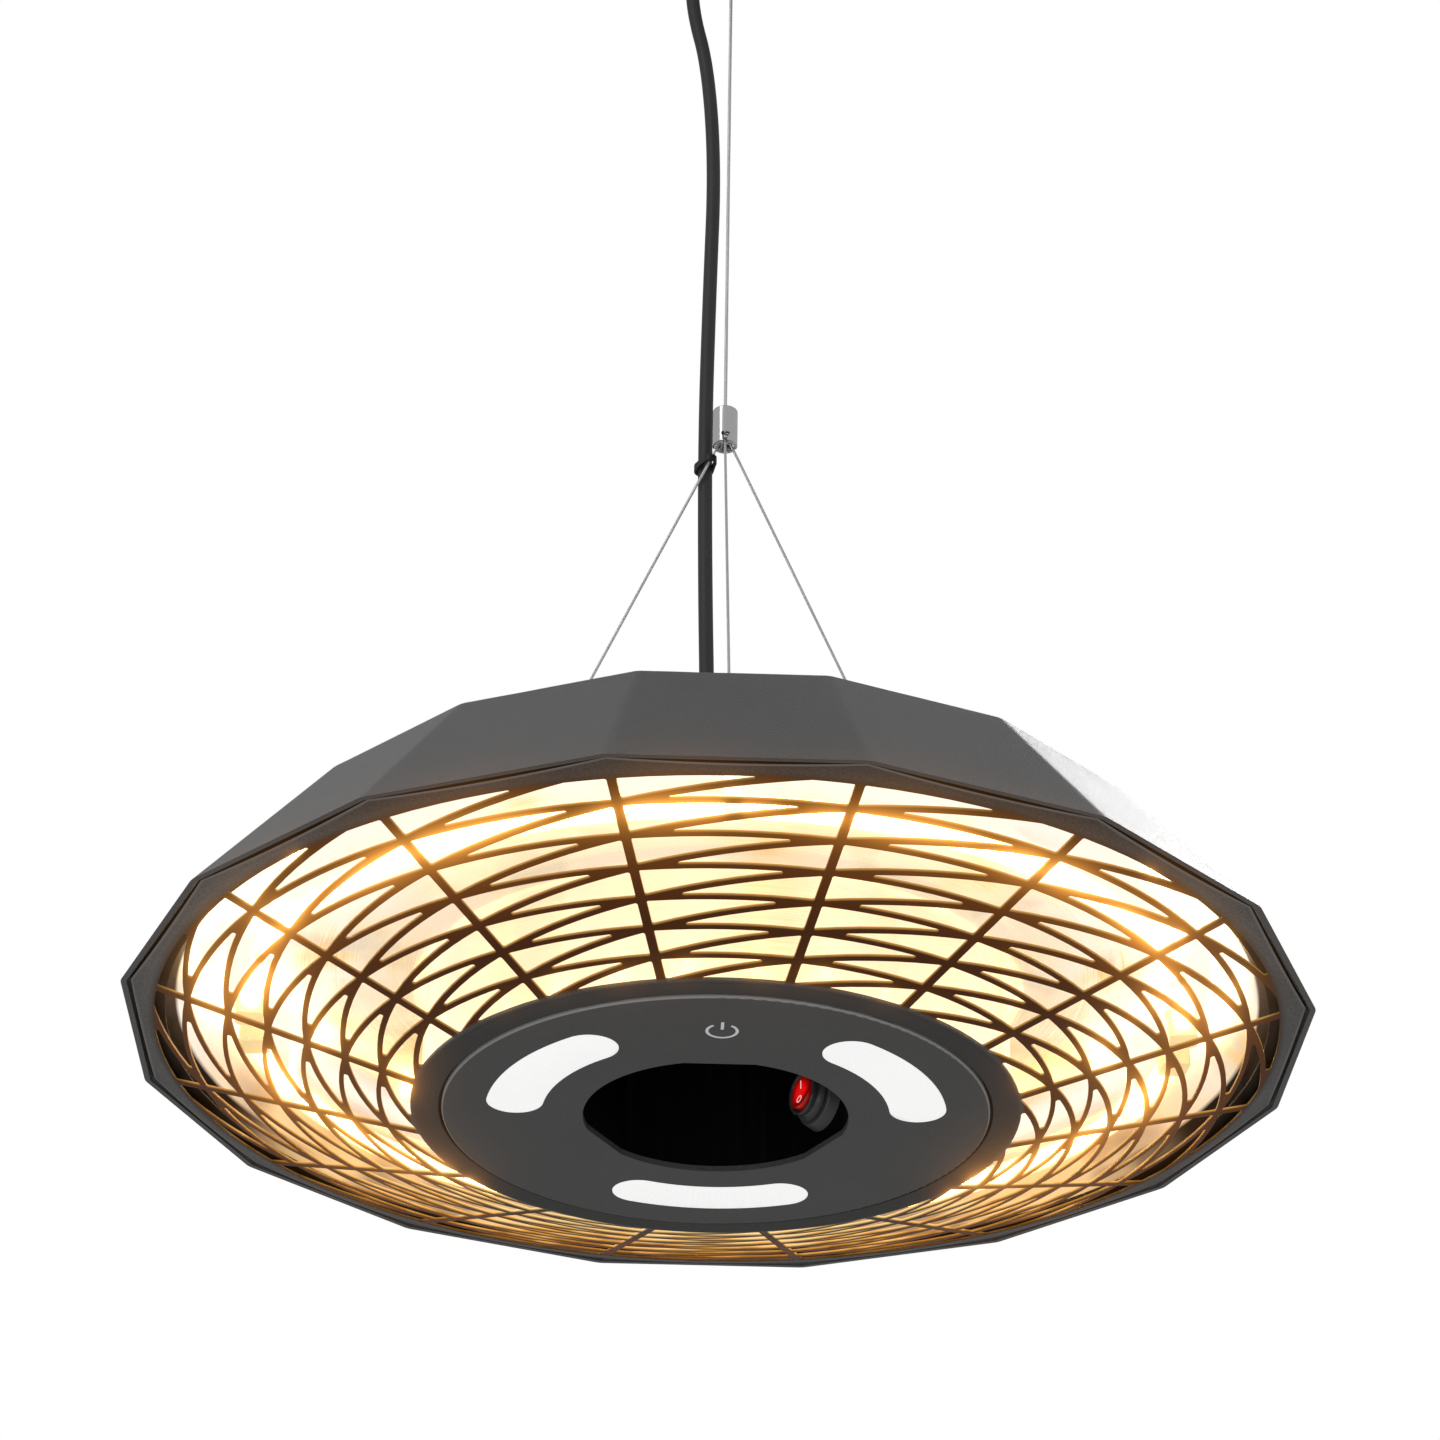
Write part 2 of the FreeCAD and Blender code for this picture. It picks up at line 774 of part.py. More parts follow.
def switch_rocker():
    """Red rocker with a shallow V face, at rest with its upper half pressed in."""
    throw = math.tan(math.radians(rocker_half_throw))
    reach = 2 * rocker_radius
    outline = [(-reach, -rocker_body_depth), (reach, -rocker_body_depth),
               (reach, rocker_crown + reach * throw), (0, rocker_crown),
               (-reach, rocker_crown + reach * throw)]
    wedge = prism(outline, -reach, reach)
    up, across, outward = Vector(0, 1, 0), Vector(0, 0, 1), Vector(1, 0, 0)
    wedge = framed(wedge, Vector(0, 0, 0), up, across, outward)
    body = Part.makeSphere(rocker_radius).common(wedge)
    bore = bar(rocker_pin_radius + pin_clearance, Vector(-reach, 0, 0), Vector(reach, 0, 0))
    body = body.cut(bore)
    body.rotate(Vector(0, 0, 0), Vector(1, 0, 0), -rocker_half_throw)
    body.translate(Vector(0, 0, pivot_height()))
    return framed(body, *switch_frame())


def rocker_pin():
    """Pivot pin of the rocker, held in the bezel."""
    half = barrel_radius - pin_clearance
    pin = bar(rocker_pin_radius, Vector(-half, 0, pivot_height()), Vector(half, 0, pivot_height()))
    return framed(pin, *switch_frame())


def switch_nut():
    """Ring nut on the barrel, behind the well's flat."""
    rear = -well_wall - switch_nut_length
    nut = hexagon(switch_nut_radius, rear, -well_wall)
    nut = nut.cut(rod(barrel_radius + barrel_clearance / 2, rear, -well_wall))
    return framed(nut, *switch_frame())


# Core drum and reflector

def lead_runs():
    """Each tube lead as its cap's place and its end on the terminal block."""
    runs = []
    for start, turn in tube_ends():
        along = polar(1, start + 90 * turn)
        spot = polar(tube_ring_radius, start).add(along.multiply(cap_length / 2))
        side = math.copysign(terminal_size / 2, spot.x)
        runs.append((spot, Vector(side, spot.y, rim_level + lead_level)))
    return runs


def core_drum():
    """Flanged drum that carries the panel and grille and hangs from the casing top."""
    path = [(drum_radius - drum_foot, drum_level), (drum_radius, drum_level),
            (drum_radius, top_under), (drum_radius - drum_top_flange, top_under)]
    body = lathe(sheet_outline(path, drum_sheet))
    cuts = []
    for spot in screw_spots(core_screw_ring):
        cuts.append(rod(screw_radius + hole_clearance, drum_level, drum_level + drum_sheet,
                        spot.x, spot.y))
    for spot in screw_spots(top_screw_ring):
        cuts.append(rod(screw_radius + pin_clearance, top_under - drum_sheet, top_under,
                        spot.x, spot.y))
    for spot, end in lead_runs():
        cuts.append(bar(2 * lead_radius, Vector(spot.x, spot.y, end.z), end))
    return body.cut(cuts)


def rim_ring():
    """Flat ring on the grille's skirt that closes the gap out to the casing and carries the reflector."""
    plan = sided_prism(grille_corner_radius, skirt_level, ring_level)
    return plan.cut(rod(rim_ring_inner_radius, skirt_level, ring_level))


def reflector():
    """Spun dish round the drum, with holes for the tube leads and clip screws."""
    inner = drum_radius + reflector_gap
    foot = flange_level + grille_sheet
    crown = rim_level + reflector_height
    edge = grille_flat_radius - grille_sheet / 2
    path = [(edge, ring_level), (rim_ring_inner_radius + reflector_setback, ring_level),
            (reflector_shoulder_radius, crown - reflector_sheet),
            (inner + reflector_sheet, crown - reflector_sheet), (inner + reflector_sheet, foot)]
    outline = sheet_outline(path, -reflector_sheet)
    body = lathe(outline)
    corners = outline[5:][::-1]
    for index, radius in ((2, reflector_outer_round), (3, reflector_inner_round)):
        body = round_circles(body, radius, [path[index]])
        body = round_circles(body, radius + reflector_sheet, [corners[index]])
    cuts = []
    for spot, _ in lead_runs():
        cuts.append(rod(bushing_radius + hole_clearance, crown - 2 * reflector_sheet, crown,
                        spot.x, spot.y))
    for _, spot in clip_spots():
        cuts.append(rod(screw_radius + hole_clearance, crown - 2 * reflector_sheet, crown,
                        spot.x, spot.y))
    return body.cut(cuts)


# Heating tubes

tube_spans = {"front": 270.0, "rear": 90.0}


def tube_half_span():
    """Half of one tube's arc."""
    return 90.0 - tube_end_angle


def tube_ends():
    """Azimuth of each tube end, with the sense in which the tube's line goes on past it."""
    ends = []
    for middle in tube_spans.values():
        ends.append((middle - tube_half_span(), -1))
        ends.append((middle + tube_half_span(), 1))
    return ends


def half_ring(middle, radius):
    """Round bar bent along one tube's arc."""
    start = middle - tube_half_span()
    section = Part.Circle(polar(tube_ring_radius, start, tube_height), polar(1, start + 90), radius)
    face = Part.Face(Part.Wire([section.toShape()]))
    return face.revolve(Vector(0, 0, 0), Vector(0, 0, 1), 2 * tube_half_span())


def heat_tube(middle):
    """Quartz tube bent to a half ring."""
    return half_ring(middle, tube_radius).cut(half_ring(middle, tube_radius - tube_glass))


def tube_end_caps():
    """Ceramic blocks on the four tube ends."""
    caps = []
    for start, turn in tube_ends():
        cap = block(cap_width, cap_length, tube_height - cap_width / 2, tube_height + cap_width / 2,
                    tube_ring_radius, turn * cap_length / 2)
        cap = cap.makeChamfer(cap_width / 8, upright_edges(cap))
        caps.append(turned(cap, start))
    return caps


def clip_spots():
    """Azimuth of each tube clip, with the place of its screw."""
    spots = []
    for middle in tube_spans.values():
        reach = tube_half_span() - clip_end_angle
        for azimuth in (middle - reach, middle, middle + reach):
            spots.append((azimuth, polar(tube_ring_radius - clip_foot / 2, azimuth)))
    return spots


def tube_clips():
    """Spring steel clips that carry the tubes under the reflector."""
    crown = rim_level + reflector_height - reflector_sheet
    hold = tube_radius + clip_clearance
    clips = []
    for azimuth, _ in clip_spots():
        side = Vector(tube_ring_radius, -clip_width / 2, tube_height)
        band = Part.makeCylinder(hold + clip_sheet, clip_width, side, Vector(0, 1, 0))
        bore = Part.makeCylinder(hold, clip_width, side, Vector(0, 1, 0))
        stem = block(clip_sheet, clip_width, tube_height + hold, crown, tube_ring_radius)
        foot = block(clip_foot, clip_width, crown - clip_sheet, crown,
                     tube_ring_radius - clip_foot / 2 + clip_sheet / 2)
        hole = rod(screw_radius + pin_clearance, crown - clip_sheet, crown,
                   tube_ring_radius - clip_foot / 2)
        clip = band.fuse([stem, foot]).cut([bore, hole]).removeSplitter()
        clips.append(turned(clip, azimuth))
    return clips


def clip_screws():
    """Screws that hold the tube clips to the reflector."""
    crown = rim_level + reflector_height
    length = reflector_sheet + clip_sheet + screw_bite
    return [screw(crown, length, spot.x, spot.y) for _, spot in clip_spots()]


def tube_leads():
    """Heat-proof leads from the end caps over the reflector to the terminal block."""
    leads = []
    for spot, end in lead_runs():
        start = Vector(spot.x, spot.y, tube_height + cap_width / 2)
        corner = Vector(spot.x, spot.y, end.z)
        inward = math.copysign(1, end.x - spot.x)
        rise_end = corner.sub(Vector(0, 0, lead_bend))
        run_start = corner.add(Vector(inward * lead_bend, 0, 0))
        dip = lead_bend * (1 - math.sqrt(0.5))
        middle = corner.add(Vector(inward * dip, 0, -dip))
        edges = [Part.LineSegment(start, rise_end).toShape(),
                 Part.Arc(rise_end, middle, run_start).toShape(),
                 Part.LineSegment(run_start, end).toShape()]
        leads.append(tube_along(Part.Wire(edges), lead_radius))
    return leads


def lead_bushings():
    """Ceramic bushings that take the leads through the reflector."""
    crown = rim_level + reflector_height
    bushings = []
    for spot, _ in lead_runs():
        stem = rod(bushing_radius, crown - bushing_below, crown, spot.x, spot.y)
        cap = rod(bushing_flange, crown, crown + bushing_cap, spot.x, spot.y)
        bore = rod(lead_radius + hole_clearance, crown - bushing_below, crown + bushing_cap,
                   spot.x, spot.y)
        bushings.append(stem.fuse(cap).cut(bore).removeSplitter())
    return bushings


# Electrics

def terminal_block():
    """Terminal block on the well's roof, where cord and leads end."""
    body = block(terminal_size, terminal_size, roof_level, roof_level + terminal_height)
    return body.makeChamfer(box_edge_round / 2, upright_edges(body))


def boxed(length, width, height, azimuth):
    """Rounded box under the casing top, as far out as the drum's top flange lets its corners go."""
    corner_reach = drum_radius - drum_top_flange - box_gap
    radius = math.sqrt(corner_reach ** 2 - (length / 2) ** 2) - width / 2
    body = block(width, length, top_under - height, top_under, radius)
    return turned(body.makeFillet(box_edge_round, upright_edges(body)), azimuth)


# Suspension

def leg_line(azimuth):
    """Top and bottom ends of a leg wire's line."""
    top = polar(ball_ring_radius, azimuth, hub_level + ball_height)
    bottom = polar(anchor_ring_radius, azimuth, top_level + anchor_wire_height)
    return top, bottom


def leg_wire(azimuth):
    """Straight steel wire from the hub to an anchor."""
    return bar(leg_wire_radius, *leg_line(azimuth))


def leg_ball_ends():
    """Swaged balls that hold the leg wires in the hub."""
    balls = []
    for azimuth in leg_names.values():
        top, bottom = leg_line(azimuth)
        along = bottom.sub(top).normalize()
        start = top.sub(Vector(along).multiply(2 * ball_radius))
        bore = bar(leg_wire_radius + wire_clearance / 2, start, bottom)
        balls.append(Part.makeSphere(ball_radius, top, along).cut(bore))
    return balls


def wire_hub():
    """Round hub that grips the main wire and holds the three ball ends in its slotted skirt."""
    body = rod(hub_radius, hub_level, hub_top)
    body = round_circles(body, hub_edge_round, [(hub_radius, hub_level), (hub_radius, hub_top)])
    cavity = rod(hub_cavity_radius, hub_level, hub_level + hub_cavity_height)
    bore = rod(main_wire_radius + wire_clearance, hub_top - wire_grip - wire_clearance, hub_top)
    cuts = [cavity, bore, hub_screw_bore(pin_clearance)]
    for azimuth in leg_names.values():
        slot = block(hub_radius, hub_slot_width, hub_level, hub_level + ball_height, hub_radius)
        eye = Part.makeCylinder(hub_slot_width, hub_radius, Vector(hub_radius / 2, 0,
                                hub_level + ball_height), Vector(1, 0, 0))
        cuts.append(turned(slot.fuse(eye.common(block(hub_radius, 2 * hub_slot_width,
                    hub_level, hub_level + ball_height + hub_slot_width / 2, hub_radius))), azimuth))
    return body.cut(cuts)


def hub_screw_bore(grow):
    """Bar along the hub's set screw, from the main wire's side out to the hub's rear face."""
    level = hub_top - wire_grip / 2
    start = Vector(0, main_wire_radius + wire_clearance, level)
    return bar(hub_screw_radius + grow, start, Vector(0, hub_radius, level))


def hub_screw():
    """Set screw that clamps the main wire, with a slot in its end."""
    level = hub_top - wire_grip / 2
    slot = block(2 * hub_screw_radius, hub_screw_radius, level - hub_screw_radius / 4,
                 level + hub_screw_radius / 4, 0, hub_radius)
    return hub_screw_bore(0).common(rod(hub_radius, hub_level, hub_top)).cut(slot)


def main_wire():
    """Straight steel wire from the eye terminal down into the hub."""
    eye_bottom = pin_level - eye_shank_length
    return rod(main_wire_radius, hub_top - wire_grip, eye_bottom + wire_grip)


def wire_anchors():
    """Turned posts on the casing top, each with a stud through it and a slanting wire hole."""
    anchors = []
    for azimuth, spot in zip(leg_names.values(), anchor_spots()):
        top, bottom = leg_line(azimuth)
        post = rod(anchor_post_radius, top_level, top_level + anchor_post_height, spot.x, spot.y)
        post = post.makeFillet(anchor_post_radius / 4, [post.Edges[0]])
        flange = rod(anchor_flange_radius, top_level, top_level + anchor_flange_height,
                     spot.x, spot.y)
        stud = rod(stud_radius, top_under - stud_length, top_level, spot.x, spot.y)
        bore = bar(leg_wire_radius + wire_clearance, bottom, top)
        anchors.append(post.fuse([flange, stud]).cut(bore).removeSplitter())
    return anchors


def anchor_nuts():
    """Nuts of the anchors, under the casing top."""
    nuts = []
    low = top_under - stud_nut_height
    for spot in anchor_spots():
        nut = hexagon(stud_nut_radius, low, top_under, spot.x, spot.y)
        nuts.append(nut.cut(rod(stud_radius + pin_clearance, low, top_under, spot.x, spot.y)))
    return nuts


# Cord, glands and tie

def gland(x, level, up):
    """Cord gland on a wall: hexagon, domed nut and thread, standing up or hanging down."""
    dome_end = gland_hex_height + gland_dome_height
    dome = rod(gland_dome_radius, gland_hex_height, dome_end)
    dome = round_circles(dome, gland_dome_height / 3, [(gland_dome_radius, dome_end)])
    body = hexagon(gland_hex_radius, 0, gland_hex_height).fuse(
        [dome, rod(gland_thread_radius, -gland_thread_length, 0)]).removeSplitter()
    body = body.cut(rod(cord_radius + cord_clearance, -gland_thread_length, dome_end))
    if not up:
        body.rotate(Vector(0, 0, 0), Vector(1, 0, 0), 180)
    body.translate(Vector(x, 0, level))
    return body


def gland_nut(x, low):
    """Lock nut of a gland."""
    nut = hexagon(gland_nut_radius, low, low + gland_nut_height, x)
    return nut.cut(rod(gland_thread_radius + pin_clearance, low, low + gland_nut_height, x))


def cord_points():
    """The cord's route in the part's frame."""
    return [Vector(x, y, rim_level + height) for x, y, height in cord_route]


def power_cord():
    """Round mains cord from the terminal block up to the canopy's gland."""
    path, radii = bent_path(cord_points())
    cord = tube_along(path, cord_radius)
    expected = math.pi * cord_radius ** 2 * path.Length
    print("cord length", round(path.Length, 1), "bend radii", [round(radius) for radius in radii])
    print("cord volume over section times length", round(cord.Volume / expected, 5))
    return cord


def cord_place(level):
    """Where the cord's route passes a level."""
    points = cord_points()
    for low, high in zip(points, points[1:]):
        if low.z <= level <= high.z:
            share = (level - low.z) / (high.z - low.z)
            return low.add(high.sub(low).multiply(share))
    raise ValueError("the cord does not reach this level")


def strapped(first, first_radius, second, second_radius, low, high):
    """Upright prism over two round bars and the tangents that wrap them."""
    along = second.sub(first)
    heading = math.atan2(along.y, along.x)
    lean = math.acos((first_radius - second_radius) / math.hypot(along.x, along.y))
    corners = []
    for angle in (heading + lean, heading - lean):
        side = Vector(math.cos(angle), math.sin(angle), 0)
        pair = [(first.x + first_radius * side.x, first.y + first_radius * side.y),
                (second.x + second_radius * side.x, second.y + second_radius * side.y)]
        corners += pair if not corners else pair[::-1]
    body = prism(corners, low, high)
    return body.fuse([rod(first_radius, low, high, first.x, first.y),
                      rod(second_radius, low, high, second.x, second.y)]).removeSplitter()


def cable_tie():
    """Tie that straps the cord to the left leg wire just below the hub."""
    level = rim_level + tie_height
    low, high = level - tie_band_width / 2, level + tie_band_width / 2
    top, bottom = leg_line(leg_names["left"])
    share = (top.z - level) / (top.z - bottom.z)
    leg = top.add(bottom.sub(top).multiply(share))
    cord = cord_place(level)
    inner = strapped(cord, cord_radius + cord_clearance, leg, leg_wire_radius + tie_slack, low, high)
    outer = strapped(cord, cord_radius + cord_clearance + tie_band_thickness,
                     leg, leg_wire_radius + tie_slack + tie_band_thickness, low, high)
    head_y = cord.y + cord_radius + cord_clearance + tie_head / 2
    head = block(tie_head, tie_head, low - tie_band_thickness / 2, high + tie_band_thickness / 2,
                 cord.x, head_y)
    return outer.fuse(head).cut(inner).removeSplitter()


# Ceiling fitting

def tab_reach():
    """Distance of the plate's side tabs from the axis."""
    return canopy_radius - canopy_wall - canopy_gap


def ceiling_plate():
    """Round plate with bolt holes, a supply hole and two side tabs for the canopy screws."""
    body = rod(plate_radius, -plate_thickness, 0)
    for side in (-1, 1):
        arm = block(tab_reach(), tab_width, -plate_thickness, 0, side * tab_reach() / 2)
        tab = block(tab_sheet, tab_width, -plate_thickness - tab_length, 0,
                    side * (tab_reach() - tab_sheet / 2))
        body = body.fuse([arm, tab])
    body = body.removeSplitter()
    cuts = [rod(supply_hole_radius, -plate_thickness, 0, supply_hole_x)]
    for index in range(plate_bolt_count):
        spot = polar(plate_bolt_circle / 2, (index + 0.5) * 360.0 / plate_bolt_count)
        cuts.append(rod(plate_bolt_radius, -plate_thickness, 0, spot.x, spot.y))
    for side in (-1, 1):
        cuts.append(bar(screw_radius + pin_clearance, Vector(0, 0, canopy_screw_level()),
                        Vector(side * canopy_radius, 0, canopy_screw_level())))
    return body.cut(cuts)


def canopy_screw_level():
    """Level of the canopy's side screws."""
    return -plate_thickness - tab_length / 2


def ceiling_canopy():
    """Spun cup that hides the ceiling plate, with a mouth for the wire and a gland hole."""
    path = [(canopy_radius, -canopy_gap), (canopy_radius, canopy_bottom),
            (canopy_mouth_radius, canopy_bottom)]
    outline = sheet_outline(path, -canopy_wall)
    body = lathe(outline)
    inner_corner = outline[4]
    body = round_circles(body, canopy_edge_round, [path[1]])
    body = round_circles(body, canopy_edge_round - canopy_wall, [inner_corner])
    cuts = [rod(gland_thread_radius + hole_clearance, canopy_bottom, canopy_bottom + canopy_wall,
                canopy_gland_x)]
    for side in (-1, 1):
        cuts.append(bar(screw_radius + hole_clearance, Vector(0, 0, canopy_screw_level()),
                        Vector(side * canopy_radius, 0, canopy_screw_level())))
    return body.cut(cuts)


def canopy_screws():
    """Two side screws of the canopy."""
    screws = []
    length = canopy_wall + canopy_gap + tab_sheet + screw_bite
    for side in (-1, 1):
        upright = screw(0, length, 0, 0)
        turn = upright.rotated(Vector(0, 0, 0), Vector(0, 1, 0), side * 90)
        screws.append(turn.translated(Vector(side * canopy_radius, 0, canopy_screw_level())))
    return screws


def hanger_bracket():
    """U bracket under the ceiling plate whose two ears hold the hanger pin."""
    base_low = -plate_thickness - bracket_sheet
    width = ear_gap + 2 * bracket_sheet
    body = block(bracket_base_length, width, base_low, -plate_thickness)
    for side in (-1, 1):
        y = side * (ear_gap + bracket_sheet) / 2
        ear = block(2 * ear_radius, bracket_sheet, pin_level, base_low, 0, y)
        end = Part.makeCylinder(ear_radius, bracket_sheet,
                                Vector(0, y - bracket_sheet / 2, pin_level), Vector(0, 1, 0))
        body = body.fuse([ear, end])
    bore = bar(hanger_pin_radius + pin_clearance, Vector(0, -width, pin_level),
               Vector(0, width, pin_level))
    return body.removeSplitter().cut(bore)


def clip_face():
    """Distance from the axis to the pin clip's inner face."""
    return ear_gap / 2 + bracket_sheet


def hanger_pin():
    """Clevis pin with a head and a groove for its clip."""
    near = -clip_face()
    head = bar(pin_head_radius, Vector(0, near - pin_head_length, pin_level),
               Vector(0, near, pin_level))
    shank = bar(hanger_pin_radius, Vector(0, near, pin_level),
                Vector(0, clip_face() + pin_tail, pin_level))
    return head.fuse(shank.cut(clip_ring(hanger_pin_radius))).removeSplitter()


def clip_ring(outer):
    """Ring in the pin's groove, out to a radius."""
    start = Vector(0, clip_face(), pin_level)
    end = Vector(0, clip_face() + clip_ring_thickness, pin_level)
    return bar(outer, start, end).cut(bar(hanger_pin_radius - clip_groove_depth, start, end))


def pin_clip():
    """Open spring ring that keeps the hanger pin in its bracket."""
    mouth = block(hanger_pin_radius, 2 * clip_face() + 4 * clip_ring_radius,
                  pin_level - 2 * clip_ring_radius, pin_level)
    return clip_ring(clip_ring_radius).cut(mouth)


def wire_eye():
    """Swaged eye terminal that hangs on the hanger pin."""
    start = Vector(0, -eye_thickness / 2, pin_level)
    end = Vector(0, eye_thickness / 2, pin_level)
    bottom = pin_level - eye_shank_length
    shank = rod(eye_shank_radius, bottom, pin_level)
    shank = round_circles(shank, eye_shank_radius / 3, [(eye_shank_radius, bottom)])
    body = bar(eye_radius, start, end).fuse(shank).removeSplitter()
    grip = rod(main_wire_radius + wire_clearance, bottom, bottom + wire_grip + wire_clearance)
    return body.cut([bar(hanger_pin_radius + pin_clearance, start, end), grip])


def supply_terminals():
    """Terminal block for the building's supply, under the ceiling plate."""
    low = -plate_thickness - supply_block_height
    body = block(supply_block_width, supply_block_length, low, -plate_thickness, supply_block_radius)
    body = body.makeChamfer(box_edge_round / 2, upright_edges(body))
    return turned(body, supply_block_azimuth)


# The whole heater, node by node

def all_nodes():
    """Name and shape, or list of shapes, of every node."""
    nodes = {
        "ceiling_plate": ceiling_plate(),
        "hanger_bracket": hanger_bracket(),
        "hanger_pin": hanger_pin(),
        "pin_clip": pin_clip(),
        "ceiling_canopy": ceiling_canopy(),
        "canopy_screws": canopy_screws(),
        "canopy_gland": gland(canopy_gland_x, canopy_bottom, False),
        "canopy_gland_nut": gland_nut(canopy_gland_x, canopy_bottom + canopy_wall),
        "supply_terminals": supply_terminals(),
        "wire_eye": wire_eye(),
        "main_wire": main_wire(),
        "wire_hub": wire_hub(),
        "hub_screw": hub_screw(),
        "leg_ball_ends": leg_ball_ends(),
        "wire_anchors": wire_anchors(),
        "anchor_nuts": anchor_nuts(),
        "cable_tie": cable_tie(),
        "power_cord": power_cord(),
        "body_gland": gland(body_gland_x, top_level, True),
        "body_gland_nut": gland_nut(body_gland_x, top_under - gland_nut_height),
        "upper_casing": upper_casing(),
        "casing_screws": casing_screws(),
        "core_drum": core_drum(),
        "core_screws": core_screws(),
        "rim_ring": rim_ring(),
        "reflector": reflector(),
        "front_grille": front_grille(),
        "control_panel": control_panel(),
        "power_icon": power_icon(),
        "touch_board": touch_board(),
        "center_well": center_well(),
        "well_screws": well_screws(),
        "switch_boot": switch_boot(),
        "switch_housing": switch_housing(),
        "switch_rocker": switch_rocker(),
        "rocker_pin": rocker_pin(),
        "switch_nut": switch_nut(),
        "tube_end_caps": tube_end_caps(),
        "tube_clips": tube_clips(),
        "clip_screws": clip_screws(),
        "tube_leads": tube_leads(),
        "lead_bushings": lead_bushings(),
        "terminal_block": terminal_block(),
        "control_box": boxed(control_box_length, control_box_width, control_box_height,
                             control_box_azimuth),
        "light_driver": boxed(driver_length, driver_width, driver_height, driver_azimuth),
    }
    for name, azimuth in leg_names.items():
        nodes["leg_wire_" + name] = leg_wire(azimuth)
    for name, azimuth in window_names.items():
        nodes["light_lens_" + name] = light_lens(azimuth)
        nodes["light_board_" + name] = light_board(azimuth)
    for name, middle in tube_spans.items():
        nodes["heat_tube_" + name] = heat_tube(middle)
        nodes["filament_" + name] = half_ring(middle, filament_radius)
    return nodes


def main():
    """Build every node and write one STEP file for each."""
    os.makedirs("parts", exist_ok=True)
    for name, shape in all_nodes().items():
        if isinstance(shape, list):
            shape = Part.makeCompound(shape)
        shape.exportStep(os.path.join("parts", name + ".step"))


main()
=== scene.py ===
"""Looks of a hanging infrared patio heater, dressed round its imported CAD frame.

Metres, +Z up. The ceiling is at zero, and the heater's front with the touch mark is at -Y.
"""

import json
import logging
import math
from dataclasses import dataclass, field
from enum import Enum
from functools import cached_property
from typing import Any

import bmesh
import bpy
from mathutils import Matrix, Vector

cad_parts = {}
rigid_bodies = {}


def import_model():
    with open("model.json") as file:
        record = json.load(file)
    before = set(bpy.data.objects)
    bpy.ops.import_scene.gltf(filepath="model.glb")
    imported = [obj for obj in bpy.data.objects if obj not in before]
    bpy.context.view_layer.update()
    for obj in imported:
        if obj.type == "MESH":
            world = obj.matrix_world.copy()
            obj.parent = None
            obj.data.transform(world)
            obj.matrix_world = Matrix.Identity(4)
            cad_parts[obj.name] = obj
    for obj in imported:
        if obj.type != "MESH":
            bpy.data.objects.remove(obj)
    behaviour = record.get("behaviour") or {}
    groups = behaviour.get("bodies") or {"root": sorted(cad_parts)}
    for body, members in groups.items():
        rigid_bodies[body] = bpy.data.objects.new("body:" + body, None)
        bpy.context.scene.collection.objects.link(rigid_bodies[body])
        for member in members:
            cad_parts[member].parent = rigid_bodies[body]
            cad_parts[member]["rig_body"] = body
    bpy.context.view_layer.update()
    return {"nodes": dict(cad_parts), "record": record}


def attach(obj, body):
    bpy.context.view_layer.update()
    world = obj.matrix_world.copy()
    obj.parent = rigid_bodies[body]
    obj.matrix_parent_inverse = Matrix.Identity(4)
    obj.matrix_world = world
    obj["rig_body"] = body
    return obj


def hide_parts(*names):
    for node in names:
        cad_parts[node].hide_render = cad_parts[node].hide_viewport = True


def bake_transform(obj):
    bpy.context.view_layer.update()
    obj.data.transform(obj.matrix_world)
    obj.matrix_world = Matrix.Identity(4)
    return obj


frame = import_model()

MM = 0.001
FULL_TURN = 2 * math.pi
RIM = -0.790
WELD = 2e-6
SLIVER = 1e-6
Color = tuple[float, float, float]
Span = tuple[float, float]
Stops = tuple[tuple[float, Color], ...]
Socket = bpy.types.NodeSocket
WHITE: Color = (1.0, 1.0, 1.0)
LOG = logging.getLogger("heater")


class Body(Enum):
    """The bodies that pieces ride on."""

    CEILING = "ceiling_mount"
    HEATER = "heater"
    ROCKER = "rocker"


# Node trees


class Wiring:
    """Adds nodes to one tree and joins them."""

    def __init__(self, tree: bpy.types.NodeTree) -> None:
        """Take the tree to work in."""
        self.tree = tree

    def feed(self, socket: Socket, value: Any) -> None:
        """Give a socket another socket's result or a fixed value.

        Args:
            socket: the input to set.
            value: an output socket to link, or a number, colour or vector.
        """
        if isinstance(value, Socket):
            self.tree.links.new(value, socket)
        elif hasattr(value, "__len__") and socket.type == "RGBA" and len(value) == 3:
            socket.default_value = (*value, 1.0)
        else:
            socket.default_value = value

    def node(self, kind: str, inputs: dict[Any, Any] | None = None, **settings: Any) -> bpy.types.Node:
        """Add a node.

        Args:
            kind: Blender's name of the node type.
            inputs: values or sockets by input name or number.
            **settings: the node's own properties.

        Returns:
            The new node.
        """
        made = self.tree.nodes.new(kind)
        for key, value in settings.items():
            setattr(made, key, value)
        for key, value in (inputs or {}).items():
            self.feed(made.inputs[key], value)
        return made

    def math(self, operation: str, first: Any, second: Any = 0.0) -> Socket:
        """Combine two numbers and return the result's socket."""
        return self.node("ShaderNodeMath", {0: first, 1: second}, operation=operation).outputs[0]

    def times(self, first: Any, second: Any) -> Socket:
        """Multiply two numbers."""
        return self.math("MULTIPLY", first, second)

    def plus(self, first: Any, second: Any) -> Socket:
        """Add two numbers."""
        return self.math("ADD", first, second)

    def vector(self, x: Any = 0.0, y: Any = 0.0, z: Any = 0.0) -> Socket:
        """Join three numbers to a vector."""
        return self.node("ShaderNodeCombineXYZ", {0: x, 1: y, 2: z}).outputs[0]


# Finishes


